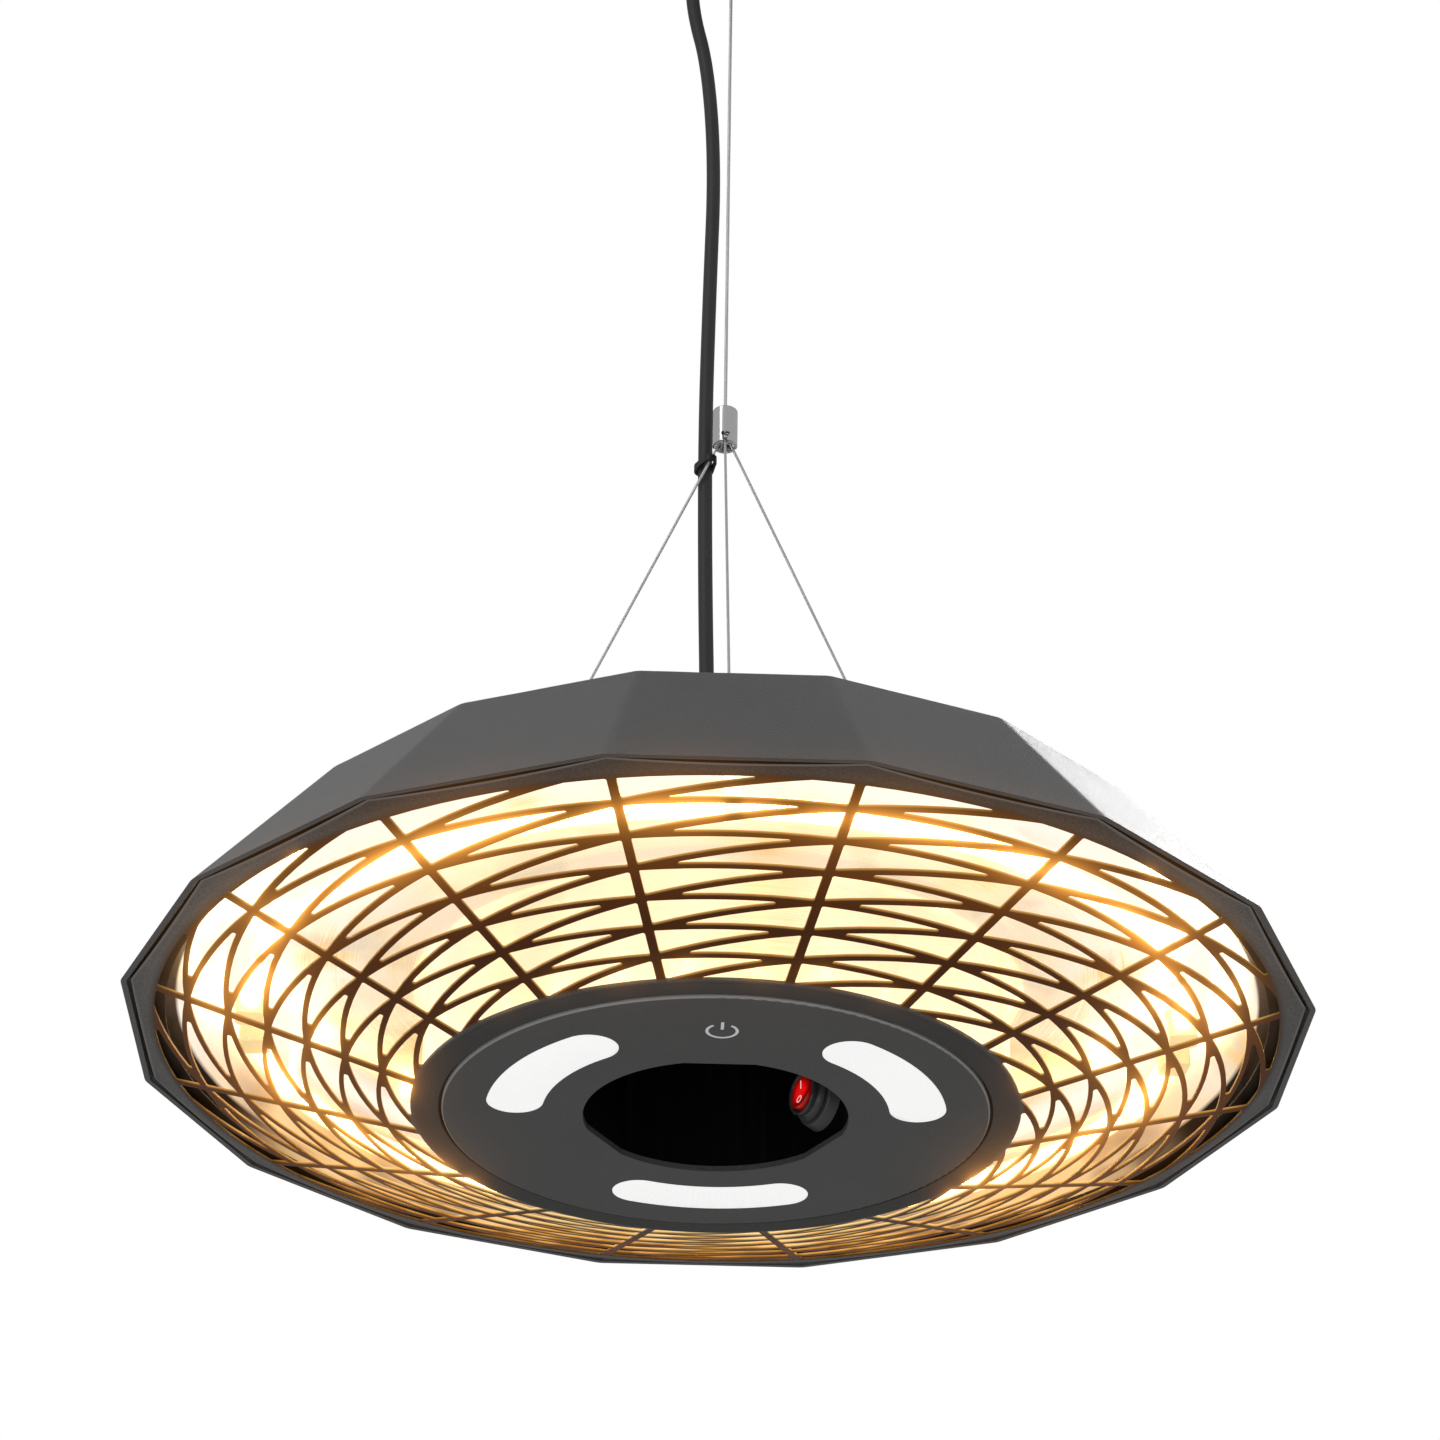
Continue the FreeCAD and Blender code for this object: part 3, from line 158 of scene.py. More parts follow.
class Recipe(Wiring):
    """Wires the nodes of one material."""

    def __init__(self, name: str) -> None:
        """Start a material with its main shader and its place on the piece.

        Args:
            name: the material's name.
        """
        self.material = bpy.data.materials.new(name)
        self.material.use_nodes = True
        super().__init__(self.material.node_tree)
        self.shader = self.tree.nodes["Principled BSDF"]
        self.place = self.node("ShaderNodeTexCoord").outputs["Object"]

    def shade(self, **values: Any) -> None:
        """Set the main shader's inputs, named with underscores for spaces."""
        for key, value in values.items():
            self.feed(self.shader.inputs[key.replace("_", " ")], value)

    def base(self) -> Socket:
        """Return what feeds the main shader's colour so far."""
        return self.shader.inputs["Base Color"].links[0].from_socket

    def noise(self, scale: float, detail: float = 2.0, place: Any = None) -> Socket:
        """Return soft noise from 0 to 1 at a scale, on the piece's own coordinates or others."""
        inputs = {"Vector": self.place if place is None else place, "Scale": scale, "Detail": detail}
        return self.node("ShaderNodeTexNoise", inputs).outputs[0]

    def spread(self, value: Any, start: float, end: float, low: Any, high: Any,
               soft: bool = False) -> Socket:
        """Carry a value's range from start to end over to low and high, clamped.

        Args:
            value: the number that runs from start to end.
            start: the value that gives low.
            end: the value that gives high.
            low: result at start.
            high: result at end.
            soft: ease in and out.

        Returns:
            The socket of the result.
        """
        inputs = {"Value": value, "From Min": start, "From Max": end, "To Min": low, "To Max": high}
        kind = "SMOOTHSTEP" if soft else "LINEAR"
        return self.node("ShaderNodeMapRange", inputs, interpolation_type=kind).outputs[0]

    def ramp(self, value: Any, stops: Stops) -> Socket:
        """Turn a number into a colour.

        Args:
            value: the number, from 0 to 1.
            stops: places along it and their colours, in rising order.

        Returns:
            The socket of the colour.
        """
        made = self.node("ShaderNodeValToRGB", {0: value})
        marks = made.color_ramp.elements
        while len(marks) < len(stops):
            marks.new(0.5)
        for mark, (spot, color) in zip(marks, stops):
            mark.position = spot
            mark.color = (*color, 1.0)
        return made.outputs[0]

    def mix(self, share: Any, first: Any, second: Any) -> Socket:
        """Mix two colours by a share."""
        return self.node("ShaderNodeMix", {0: share, 6: first, 7: second}, data_type="RGBA").outputs[2]

    def bump(self, height: Any, depth: float) -> None:
        """Give the surface relief of a depth in metres."""
        self.shade(Normal=self.node("ShaderNodeBump", {"Height": height, "Distance": depth}).outputs[0])

    @cached_property
    def axes(self) -> tuple[Socket, ...]:
        """The place's X, its Y toward the rear, and its level."""
        return tuple(self.node("ShaderNodeSeparateXYZ", {0: self.place}).outputs)

    @cached_property
    def radius(self) -> Socket:
        """The distance from the heater's axis."""
        flat = self.vector(self.axes[0], self.axes[1])
        return self.node("ShaderNodeVectorMath", {0: flat}, operation="LENGTH").outputs["Value"]

    @cached_property
    def angle(self) -> Socket:
        """The angle about the heater's axis."""
        return self.math("ARCTAN2", self.axes[1], self.axes[0])

    def off_ring(self, ring: float) -> Socket:
        """Return how far the radius is from a ring's."""
        return self.math("ABSOLUTE", self.math("SUBTRACT", self.radius, ring))

    def ringed(self, radius: Socket, across: float, along: float) -> Socket:
        """Return a place for noise that runs round the axis, with a scale across and along its rings."""
        return self.vector(self.times(radius, across), self.times(self.angle, along))


@dataclass(frozen=True)
class Finish:
    """Painted, moulded or fired surface: fine grain over soft blotches, with relief.

    Grain and blotches are counted per metre, and relief is in metres.
    """

    name: str
    color: Color
    tint: Color
    roughness: Span = (0.45, 0.6)
    grain: float = 1500.0
    blotch: float = 18.0
    relief: float = 0.00003
    metallic: float = 0.0
    specular: float = 0.5
    glow: float = 0.0
    grain_share: float = 0.6
    noise_span: Span = (0.3, 0.7)
    tones: Span = (0.2, 0.8)

    def material(self) -> bpy.types.Material:
        """Make the finish's material, once.

        Returns:
            The material.
        """
        made = bpy.data.materials.get(self.name)
        if made is None:
            recipe = Recipe(self.name)
            self.paint(recipe)
            made = recipe.material
        return made

    def pattern(self, recipe: Recipe) -> Socket:
        """Return the number that drives colour, gloss and relief."""
        return recipe.spread(recipe.noise(self.grain, 3.0), *self.noise_span, 0.0, 1.0)

    def paint(self, recipe: Recipe) -> None:
        """Wire the surface.

        Args:
            recipe: the material under construction.
        """
        grain = self.pattern(recipe)
        blotch = recipe.noise(self.blotch, 3.0)
        share = recipe.plus(recipe.times(grain, self.grain_share),
                            recipe.times(blotch, 1.0 - self.grain_share))
        dark, light = self.tones
        color = recipe.ramp(share, ((dark, self.color), (light, self.tint)))
        recipe.shade(Base_Color=color, Metallic=self.metallic, Specular_IOR_Level=self.specular,
                     Roughness=recipe.spread(share, dark, light, *self.roughness))
        if self.glow:
            recipe.shade(Emission_Color=color, Emission_Strength=self.glow)
        recipe.bump(grain, self.relief)


@dataclass(frozen=True)
class DrawnMetal(Finish):
    """Metal with fine lines along one axis, as drawn wire or turned bar has."""

    stretch: Vector = field(default_factory=lambda: Vector((1.0, 1.0, 0.02)))
    metallic: float = 1.0

    def pattern(self, recipe: Recipe) -> Socket:
        """Draw noise out along the axis.

        Args:
            recipe: the material under construction.

        Returns:
            The socket of the noise.
        """
        scale = self.stretch * self.grain
        place = recipe.node("ShaderNodeVectorMath", {0: recipe.place, 1: scale}, operation="MULTIPLY")
        return recipe.noise(1.0, 3.0, place.outputs[0])


@dataclass(frozen=True)
class SpunMetal(Finish):
    """Metal with fine rings about the heater's axis, as spinning leaves them."""

    metallic: float = 1.0
    along: float = 3.0

    def pattern(self, recipe: Recipe) -> Socket:
        """Return noise that is drawn out round the axis."""
        reach = recipe.plus(recipe.radius, recipe.axes[2])
        return recipe.noise(1.0, 3.0, recipe.ringed(reach, self.grain, self.along))


@dataclass(frozen=True)
class HotReflector(SpunMetal):
    """Polished dish with the tubes' light painted on as glow: white by the tubes, cream and amber elsewhere,
    with painted shade on its lip.
    """

    ring: float = 0.235
    reach: float = 0.030
    strength: float = 0.90
    brown: Color = (0.34, 0.15, 0.035)
    amber: Color = (1.0, 0.57, 0.18)
    honey: Color = (0.94, 0.68, 0.38)
    cream: Color = (1.0, 0.84, 0.57)
    pale: Color = (1.0, 0.91, 0.76)
    white: Color = (1.0, 0.95, 0.87)
    dull: Color = (0.56, 0.59, 0.55)
    lip_shade: Color = (0.003, 0.002, 0.0015)
    patches: Span = (24.0, 3.2)
    patch_share: float = 0.8
    streak_share: float = 0.3
    dull_scale: float = 0.9
    dull_span: Span = (0.56, 0.64)
    dull_share: float = 0.7
    inner: Span = (0.205, 0.165)
    inner_share: float = 0.6
    rear: Span = (-0.02, 0.16)
    rear_share: float = 0.85
    lip: Span = (0.2712, 0.2727)
    lip_end: Span = (0.10, 0.20)

    def paint(self, recipe: Recipe) -> None:
        """Wire the spun metal, the painted reflection of the tubes' light and the painted shade on its lip.

        Args:
            recipe: the material under construction.
        """
        super().paint(recipe)
        radius, y = recipe.radius, recipe.axes[1]
        # Painted reflection: emission stands for the tubes' light on the dish, white by the tube ring,
        # cream, amber and honey elsewhere and brown-amber at the rear.
        near = recipe.spread(recipe.off_ring(self.ring), self.reach, 0.0, 0.0, 1.0, soft=True)
        spot = recipe.ringed(radius, *self.patches)
        patch = recipe.noise(1.0, 2.0, spot)
        share = recipe.plus(recipe.times(patch, self.patch_share),
                            recipe.times(self.pattern(recipe), self.streak_share))
        color = recipe.ramp(share, ((0.36, self.amber), (0.45, self.cream), (0.53, self.pale),
                                    (0.62, self.white)))
        dulled = recipe.noise(self.dull_scale, 2.0, spot)
        color = recipe.mix(recipe.spread(dulled, *self.dull_span, 0.0, self.dull_share, soft=True),
                           color, self.dull)
        color = recipe.mix(recipe.spread(radius, *self.inner, 0.0, self.inner_share, soft=True),
                           color, self.honey)
        deep = recipe.ramp(patch, ((0.42, self.brown), (0.56, self.amber)))
        color = recipe.mix(recipe.spread(y, *self.rear, 0.0, self.rear_share, soft=True), color, deep)
        # Painted shade: the dish's outer lip is darkened to near black, fading out towards the rear.
        lip = recipe.times(recipe.spread(radius, *self.lip, 0.0, 1.0),
                           recipe.spread(y, *self.lip_end, 1.0, 0.0, soft=True))
        recipe.shade(Base_Color=recipe.mix(lip, recipe.base(), self.lip_shade),
                     Emission_Color=recipe.mix(lip, recipe.mix(near, color, self.white), self.lip_shade),
                     Emission_Strength=self.strength)


@dataclass(frozen=True)
class HotGrille(Finish):
    """Heat-proof paint with painted shade, brown-black, over the pierced zone and painted light from the
    fire on ribs and hole walls.
    """

    ring: float = 0.238
    reach: float = 0.060
    veil: Span = (0.036, 0.075)
    inner: Span = (0.1525, 0.1545)
    outer: Span = (0.2815, 0.2830)
    collar_span: Span = (0.1505, 0.1545)
    cone: tuple[float, float, float] = (0.150, -0.829, 0.277)
    steep: Span = (0.8, 0.4)
    wall_span: Span = (0.00015, 0.0015)
    wall: Span = (0.06, 0.62)
    rear: Span = (-0.02, 0.14)
    rear_gain: float = 2.1
    shade: Span = (0.273, 0.281)
    shade_left: float = 0.35
    streaks: Span = (60.0, 8.0)
    streak_swing: float = 0.4
    tone: Span = (0.272, 0.165)
    groove: Span = (0.1383, 0.1387)
    rim_edge_shade: Span = (0.2815, 0.2862)
    rim_edge_shade_share: float = 0.6
    front: Span = (-0.17, -0.26)
    front_span: Span = (0.2815, 0.2825)
    front_share: float = 0.5
    side: float = math.radians(11.25)
    brim: Span = (0.2878, 0.2886)
    brim_share: float = 0.8
    skirt_span: Span = (0.284, 0.286)
    shade_brown: Color = (0.010, 0.004, 0.001)
    collar: Color = (0.050, 0.049, 0.048)
    skirt: Color = (0.0015, 0.0015, 0.0015)
    edge_highlight: Color = (0.20, 0.20, 0.20)
    ember: Color = (1.0, 0.25, 0.013)
    brown: Color = (0.42, 0.165, 0.020)
    flame: Color = (1.0, 0.50, 0.12)
    pale: Color = (1.0, 0.69, 0.28)

    def paint(self, recipe: Recipe) -> None:
        """Wire the paint, the painted brown shade over the pierced zone and the painted light on the ribs.

        Args:
            recipe: the material under construction.
        """
        super().paint(recipe)
        radius = recipe.radius
        # Painted shade: the pierced zone's paint is darkened to brown-black.
        within = recipe.times(recipe.spread(radius, *self.inner, 0.0, 1.0),
                              recipe.spread(radius, *self.outer, 1.0, 0.0))
        facing = recipe.node("ShaderNodeNewGeometry").outputs["True Normal"]
        upright = recipe.math("ABSOLUTE", recipe.node("ShaderNodeSeparateXYZ", {0: facing}).outputs[2])
        edge = recipe.spread(upright, *self.steep, 0.0, 1.0)
        # Painted light: orange emission near the tube ring and on the steep hole walls stands for the fire's
        # light on the ribs.
        light = recipe.spread(recipe.off_ring(self.ring), self.reach, 0.0, *self.veil, soft=True)
        light = recipe.math("MAXIMUM", light, recipe.times(edge, self.wall_light(recipe)))
        # Painted shade: the skirt's outer face is painted near black, so the gap under the hem reads dark.
        skirt = recipe.times(edge, recipe.spread(radius, *self.skirt_span, 0.0, 1.0))
        coat = recipe.mix(skirt, self.coat(recipe), self.skirt)
        recipe.shade(Base_Color=recipe.mix(within, coat, self.shade_brown),
                     Emission_Color=recipe.mix(edge, self.ember, self.wall_color(recipe)),
                     Emission_Strength=recipe.times(light, within))

    def wall_light(self, recipe: Recipe) -> Socket:
        """Light the hole walls from above, more at the rear and less by the rim.

        Args:
            recipe: the material under construction.

        Returns:
            The socket of the walls' light.
        """
        radius, (_, y, level) = recipe.radius, recipe.axes
        start, low, slope = self.cone
        under = recipe.plus(recipe.times(recipe.math("SUBTRACT", radius, start), slope), low)
        glow = recipe.spread(recipe.math("SUBTRACT", level, under), *self.wall_span, *self.wall)
        glow = recipe.times(glow, recipe.spread(y, *self.rear, 1.0, self.rear_gain, soft=True))
        return recipe.times(glow, recipe.spread(radius, *self.shade, 1.0, self.shade_left))

    def wall_color(self, recipe: Recipe) -> Socket:
        """Turn the walls' flame colour pale and brown by turns at the rear.

        Args:
            recipe: the material under construction.

        Returns:
            The socket of the walls' colour.
        """
        streak = recipe.spread(recipe.noise(1.0, 2.0, recipe.ringed(recipe.radius, *self.streaks)),
                               *self.noise_span, -self.streak_swing, self.streak_swing)
        tone = recipe.plus(recipe.spread(recipe.radius, *self.tone, 0.0, 1.0), streak)
        toned = recipe.ramp(tone, ((0.05, self.brown), (0.5, self.flame), (0.95, self.pale)))
        return recipe.mix(recipe.spread(recipe.axes[1], *self.rear, 0.0, 1.0, soft=True), self.flame, toned)

    def coat(self, recipe: Recipe) -> Socket:
        """Paint the collar and the rim: darker collar, painted shade in the groove and along the rim's inner
        edge, and a painted highlight on the rim's outer edge.

        Args:
            recipe: the material under construction.

        Returns:
            The socket of the paint's colour.
        """
        radius = recipe.radius
        coat = recipe.mix(recipe.spread(radius, *self.collar_span, 1.0, 0.0), recipe.base(), self.collar)
        # Painted shade: the groove by the panel is painted near black.
        coat = recipe.mix(recipe.spread(radius, *self.groove, 1.0, 0.0), coat, self.skirt)
        # Painted shade: the rim's inner edge is darkened to brown-black, more at the front.
        edge_shaded = recipe.mix(recipe.spread(radius, self.inner[1], self.outer[0], 0.0, 1.0), coat, self.shade_brown)
        coat = recipe.mix(recipe.spread(radius, *self.rim_edge_shade, self.rim_edge_shade_share, 0.0, soft=True), coat, edge_shaded)
        front = recipe.times(recipe.spread(recipe.axes[1], *self.front, 0.0, self.front_share, soft=True),
                             recipe.spread(radius, *self.front_span, 0.0, 1.0))
        coat = recipe.mix(front, coat, self.shade_brown)
        # Painted highlight: a pale line along the rim's outer edge.
        sides = {0: recipe.angle, 1: self.side, 2: -self.side}
        turn = recipe.node("ShaderNodeMath", sides, operation="WRAP").outputs[0]
        flat = recipe.times(radius, recipe.math("COSINE", turn))
        return recipe.mix(recipe.spread(flat, *self.brim, 0.0, self.brim_share), coat, self.edge_highlight)


@dataclass(frozen=True)
class Quartz(Finish):
    """Clear tube with a warm glow, faint drawing lines and a glossy skin."""

    strength: float = 3.2
    clear: Span = (0.16, 0.3)

    def paint(self, recipe: Recipe) -> None:
        """Wire the clear skin.

        Args:
            recipe: the material under construction.
        """
        super().paint(recipe)
        clear = recipe.spread(recipe.noise(self.blotch, 2.0), *self.tones, *self.clear)
        recipe.shade(Alpha=clear, Emission_Color=self.tint, Emission_Strength=self.strength)
        recipe.material.surface_render_method = "BLENDED"


@dataclass(frozen=True)
class HotWire(Finish):
    """Glowing resistance wire, a little cooler in places."""

    strength: float = 14.0

    def paint(self, recipe: Recipe) -> None:
        """Wire the glow.

        Args:
            recipe: the material under construction.
        """
        cool, hot = self.noise_span
        color = recipe.ramp(recipe.noise(self.blotch, 2.0), ((cool, self.color), (hot, self.tint)))
        recipe.shade(Base_Color=color, Roughness=self.roughness[0], Emission_Color=color,
                     Emission_Strength=self.strength)


@dataclass(frozen=True)
class LitPlastic(Finish):
    """Clear coloured plastic with a small lamp behind its middle."""

    middle: Color = (0.045813, 0.02645, -0.803)
    reach: Span = (0.003, 0.0088)
    strength: Span = (0.75, 0.02)

    def paint(self, recipe: Recipe) -> None:
        """Wire the plastic and the light that fades to its edge.

        Args:
            recipe: the material under construction.
        """
        super().paint(recipe)
        off = recipe.node("ShaderNodeVectorMath", {0: recipe.place, 1: self.middle}, operation="DISTANCE")
        light = recipe.spread(off.outputs["Value"], *self.reach, *self.strength, soft=True)
        recipe.shade(Emission_Color=self.tint, Emission_Strength=light)


@dataclass(frozen=True)
class EdgedPlastic(Finish):
    """Dark moulding with a painted highlight on its rounded rim."""

    rim: Span = (0.1360, 0.1366)
    pale: Color = (0.34, 0.34, 0.345)

    def paint(self, recipe: Recipe) -> None:
        """Wire the moulding and its pale rim.

        Args:
            recipe: the material under construction.
        """
        super().paint(recipe)
        # Painted highlight: the panel's rounded rim is lightened.
        edge_highlight = recipe.spread(recipe.radius, *self.rim, 0.0, 1.0)
        recipe.shade(Base_Color=recipe.mix(edge_highlight, recipe.base(), self.pale))


@dataclass(frozen=True)
class Laminate(Finish):
    """Lacquered circuit board with a faint grid of tracks."""

    pitch: float = 0.0025
    gap: float = 0.08

    def pattern(self, recipe: Recipe) -> Socket:
        """Lay stepped bands that stand for the tracks.

        Args:
            recipe: the material under construction.

        Returns:
            The socket of the bands.
        """
        bands = recipe.node("ShaderNodeTexBrick", {
            "Vector": recipe.place, "Scale": 1.0 / self.pitch, "Mortar Size": self.gap,
            "Color1": grey(0.2), "Color2": grey(0.5), "Mortar": WHITE})
        return bands.outputs["Color"]


@dataclass(frozen=True)
class Braid(Finish):
    """Woven sleeve of glass yarn."""

    def pattern(self, recipe: Recipe) -> Socket:
        """Cross two waves to a weave.

        Args:
            recipe: the material under construction.

        Returns:
            The socket of the weave.
        """
        waves = [recipe.node("ShaderNodeTexWave", {"Vector": recipe.place, "Scale": self.grain},
                             bands_direction=direction).outputs["Fac"] for direction in ("DIAGONAL", "Z")]
        return recipe.times(*waves)


def grey(value: float) -> Color:
    """Return a neutral colour."""
    return (value, value, value)


FINISHES: dict[str, Finish] = {
    "casing_paint": Finish("anthracite_powder_coat", grey(0.034), grey(0.076), (0.30, 0.42), grain=1100.0,
                           relief=0.00012),
    # Painted light: the grille's paint is set about twice as light as the casing's, for the light that falls
    # on its rim from the front and below.
    "grille_paint": HotGrille("heat_proof_anthracite", (0.074, 0.073, 0.072), (0.164, 0.163, 0.162),
                              (0.45, 0.58), grain=1100.0, relief=0.00012, specular=0.12),
    "ceiling_paint": Finish("ceiling_powder_coat", (0.034, 0.034, 0.035), (0.076, 0.076, 0.077),
                            (0.40, 0.52), grain=1700.0, relief=0.00007),
    "panel_plastic": EdgedPlastic("panel_moulding", grey(0.046), grey(0.082), (0.5, 0.6), relief=0.00005,
                                  specular=0.4),
    "well_plastic": Finish("well_moulding", (0.0010, 0.0010, 0.0011), (0.0018, 0.0018, 0.0019), (0.5, 0.65),
                           grain=2200.0, specular=0.04),
    "lens_plastic": Finish("opal_diffuser", grey(0.82), grey(0.88), (0.22, 0.3), grain=900.0,
                           relief=0.000004, glow=0.58),
    "icon_inlay": Finish("touch_mark_inlay", (0.40, 0.41, 0.41), (0.48, 0.49, 0.49), (0.45, 0.55),
                         relief=0.000004, glow=0.45),
    "circuit_board": Laminate("board_lacquer", (0.02, 0.11, 0.05), (0.05, 0.2, 0.09), (0.3, 0.45),
                              relief=0.00002),
    "boot_rubber": Finish("boot_rubber_skin", grey(0.040), grey(0.072), (0.34, 0.46), grain=2400.0),
    "switch_plastic": Finish("bezel_moulding", (0.034, 0.042, 0.044), (0.060, 0.072, 0.076), (0.10, 0.18),
                             grain=2400.0, relief=0.000004),
    "rocker_plastic": LitPlastic("red_rocker", (0.42, 0.004, 0.006), (0.85, 0.006, 0.006), (0.12, 0.2),
                                 grain=600.0, blotch=120.0, relief=0.000003),
    "polished_steel": DrawnMetal("turned_plated_steel", grey(0.60), grey(0.70), (0.19, 0.25), grain=2500.0,
                                 relief=0.000001),
    "wire_steel": DrawnMetal("wire_strands", grey(0.58), grey(0.82), (0.28, 0.42), grain=3000.0,
                             relief=0.000004),
    "fastener_steel": DrawnMetal("zinc_plate", (0.40, 0.41, 0.42), (0.58, 0.58, 0.57), (0.3, 0.45),
                                 grain=2200.0, relief=0.00001),
    "sheet_steel": Finish("galvanised_sheet", (0.30, 0.31, 0.32), (0.46, 0.47, 0.48), (0.35, 0.5),
                          grain=140.0, blotch=60.0, relief=0.00001, metallic=1.0),
    "reflector_sheet": HotReflector("spun_reflector", (0.24, 0.18, 0.11), (0.36, 0.29, 0.19), (0.20, 0.32),
                                    grain=900.0, relief=0.00001),
    "quartz": Quartz("clear_quartz", (0.95, 0.80, 0.52), (1.0, 0.66, 0.26), (0.05, 0.12), grain=600.0,
                     blotch=30.0, relief=0.000004),
    "filament_wire": HotWire("glowing_coil", (1.0, 0.62, 0.26), (1.0, 0.82, 0.5), (0.5, 0.5), blotch=60.0),
    # The ceramic caps' glow is painted light from the tubes.
    "ceramic": Finish("cream_ceramic", (0.62, 0.48, 0.22), (0.78, 0.66, 0.38), grain=1300.0,
                      relief=0.00004, glow=0.75),
    "cord_rubber": Finish("cord_sheath", grey(0.026), grey(0.044), (0.45, 0.58), grain=1600.0,
                          specular=0.35),
    "tie_plastic": Finish("tie_moulding", grey(0.006), grey(0.011), (0.34, 0.46), relief=0.00001,
                          specular=0.35),
    "gland_plastic": Finish("gland_moulding", grey(0.014), grey(0.024), (0.35, 0.5), relief=0.00002),
    "lead_braid": Braid("glass_braid", (0.55, 0.52, 0.44), (0.82, 0.79, 0.7), (0.7, 0.85), grain=900.0,
                        relief=0.0001),
    "terminal_plastic": Finish("terminal_moulding", (0.66, 0.62, 0.5), (0.78, 0.74, 0.63), (0.3, 0.4),
                               relief=0.00001),
    "box_plastic": Finish("box_moulding", (0.035, 0.035, 0.037), (0.055, 0.055, 0.058), (0.4, 0.55)),
}
CLIP_FINISH = Finish("lit_clip_steel", (0.90, 0.74, 0.47), (1.0, 0.88, 0.62), (0.25, 0.4), grain=700.0,
                     relief=0.000004, metallic=1.0, glow=1.15)
# Painted shade: the ring behind the grille's rim is near black.
RIM_SHADE_FINISH = Finish("rim_ring_painted_shade", (0.004, 0.0035, 0.003), (0.008, 0.007, 0.006), (0.5, 0.65),
                    grain=1700.0, specular=0.15)
MARK_FINISH = Finish("rocker_marks_print", (1.0, 0.55, 0.52), (1.0, 0.68, 0.64), (0.35, 0.45),
                     relief=0.000002, glow=0.7)
FLOOR_FINISH = Finish("pale_floor_paint", (0.78, 0.78, 0.77), (0.84, 0.84, 0.83), (0.6, 0.75), grain=60.0,
                      blotch=0.6)
SLOT_OF: dict[str, str] = {row["node"]: row["material_slot"] for row in frame["record"]["subparts"]}


# Meshes


def settle(piece: bpy.types.Object, body: Body, slot: str, *nodes: str) -> bpy.types.Object:
    """Finish a piece: its material from its slot's finish, its body, and the CAD nodes that it stands for,
    which are hidden.

    Args:
        piece: the piece, in place.
        body: the body that it rides on.
        slot: the record's material slot.
        *nodes: CAD nodes that it replaces.

    Returns:
        The same piece.
    """
    if not piece.data.materials:
        piece.data.materials.append(FINISHES[slot].material())
    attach(piece, body.value)
    if nodes:
        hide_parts(*nodes)
    LOG.info("%s: %d faces on %s", piece.name, len(piece.data.polygons), body.value)
    return piece


def link(name: str, data: bpy.types.ID) -> bpy.types.Object:
    """Put a mesh, curve, light or camera into the scene as an object at the origin.

    Args:
        name: the object's name.
        data: its mesh, curve, light or camera.

    Returns:
        The new object.
    """
    made = bpy.data.objects.new(name, data)
    bpy.context.scene.collection.objects.link(made)
    return made


def evaluated(piece: bpy.types.Object) -> bpy.types.Mesh:
    """Return what an object's curve or modifiers give, as a new mesh."""
    graph = bpy.context.evaluated_depsgraph_get()
    return bpy.data.meshes.new_from_object(piece.evaluated_get(graph), depsgraph=graph)


def frozen(piece: bpy.types.Object, name: str) -> bpy.types.Object:
    """Turn an object with modifiers into a plain mesh object.

    Args:
        piece: the object to evaluate, which is removed.
        name: the name of the result.

    Returns:
        The new object.
    """
    mesh = evaluated(piece)
    mesh.name = name
    old = piece.data
    bpy.data.objects.remove(piece)
    bpy.data.meshes.remove(old)
    return link(name, mesh)


def smooth(mesh: bpy.types.Mesh, sharp_degrees: float) -> None:
    """Shade a mesh smooth, apart from edges sharper than an angle."""
    mesh.polygons.foreach_set("use_smooth", [True] * len(mesh.polygons))
    mesh.set_sharp_from_angle(angle=math.radians(sharp_degrees))


def molded(form: bmesh.types.BMesh, name: str, sharp_degrees: float = 40.0) -> bpy.types.Object:
    """Turn a mesh under construction into an object.

    Args:
        form: the mesh under construction, which is freed.
        name: the object's name.
        sharp_degrees: edges that turn by more stay sharp.

    Returns:
        The new object.
    """
    mesh = bpy.data.meshes.new(name)
    form.to_mesh(mesh)
    form.free()
    smooth(mesh, sharp_degrees)
    return link(name, mesh)


def skin(node: str, finish: Finish | None = None, sharp_degrees: float = 32.0) -> bpy.types.Object:
    """Make a merged, smoothly shaded copy of a CAD node and let it stand for the node.

    Args:
        node: the CAD node's name.
        finish: a finish other than its slot's.
        sharp_degrees: edges that turn by more stay sharp.

    Returns:
        The new piece.
    """
    source = frame["nodes"][node]
    form = bmesh.new()
    form.from_mesh(source.data)
    bmesh.ops.remove_doubles(form, verts=form.verts, dist=WELD)
    bmesh.ops.dissolve_degenerate(form, edges=form.edges, dist=SLIVER)
    draft = molded(form, node + "_draft", sharp_degrees)
    weighted = draft.modifiers.new("flat_faces_stay_flat", "WEIGHTED_NORMAL")
    weighted.keep_sharp = True
    piece = frozen(draft, node + "_skin")
    if finish is not None:
        piece.data.materials.append(finish.material())
    return settle(piece, Body(source["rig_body"]), SLOT_OF[node], node)


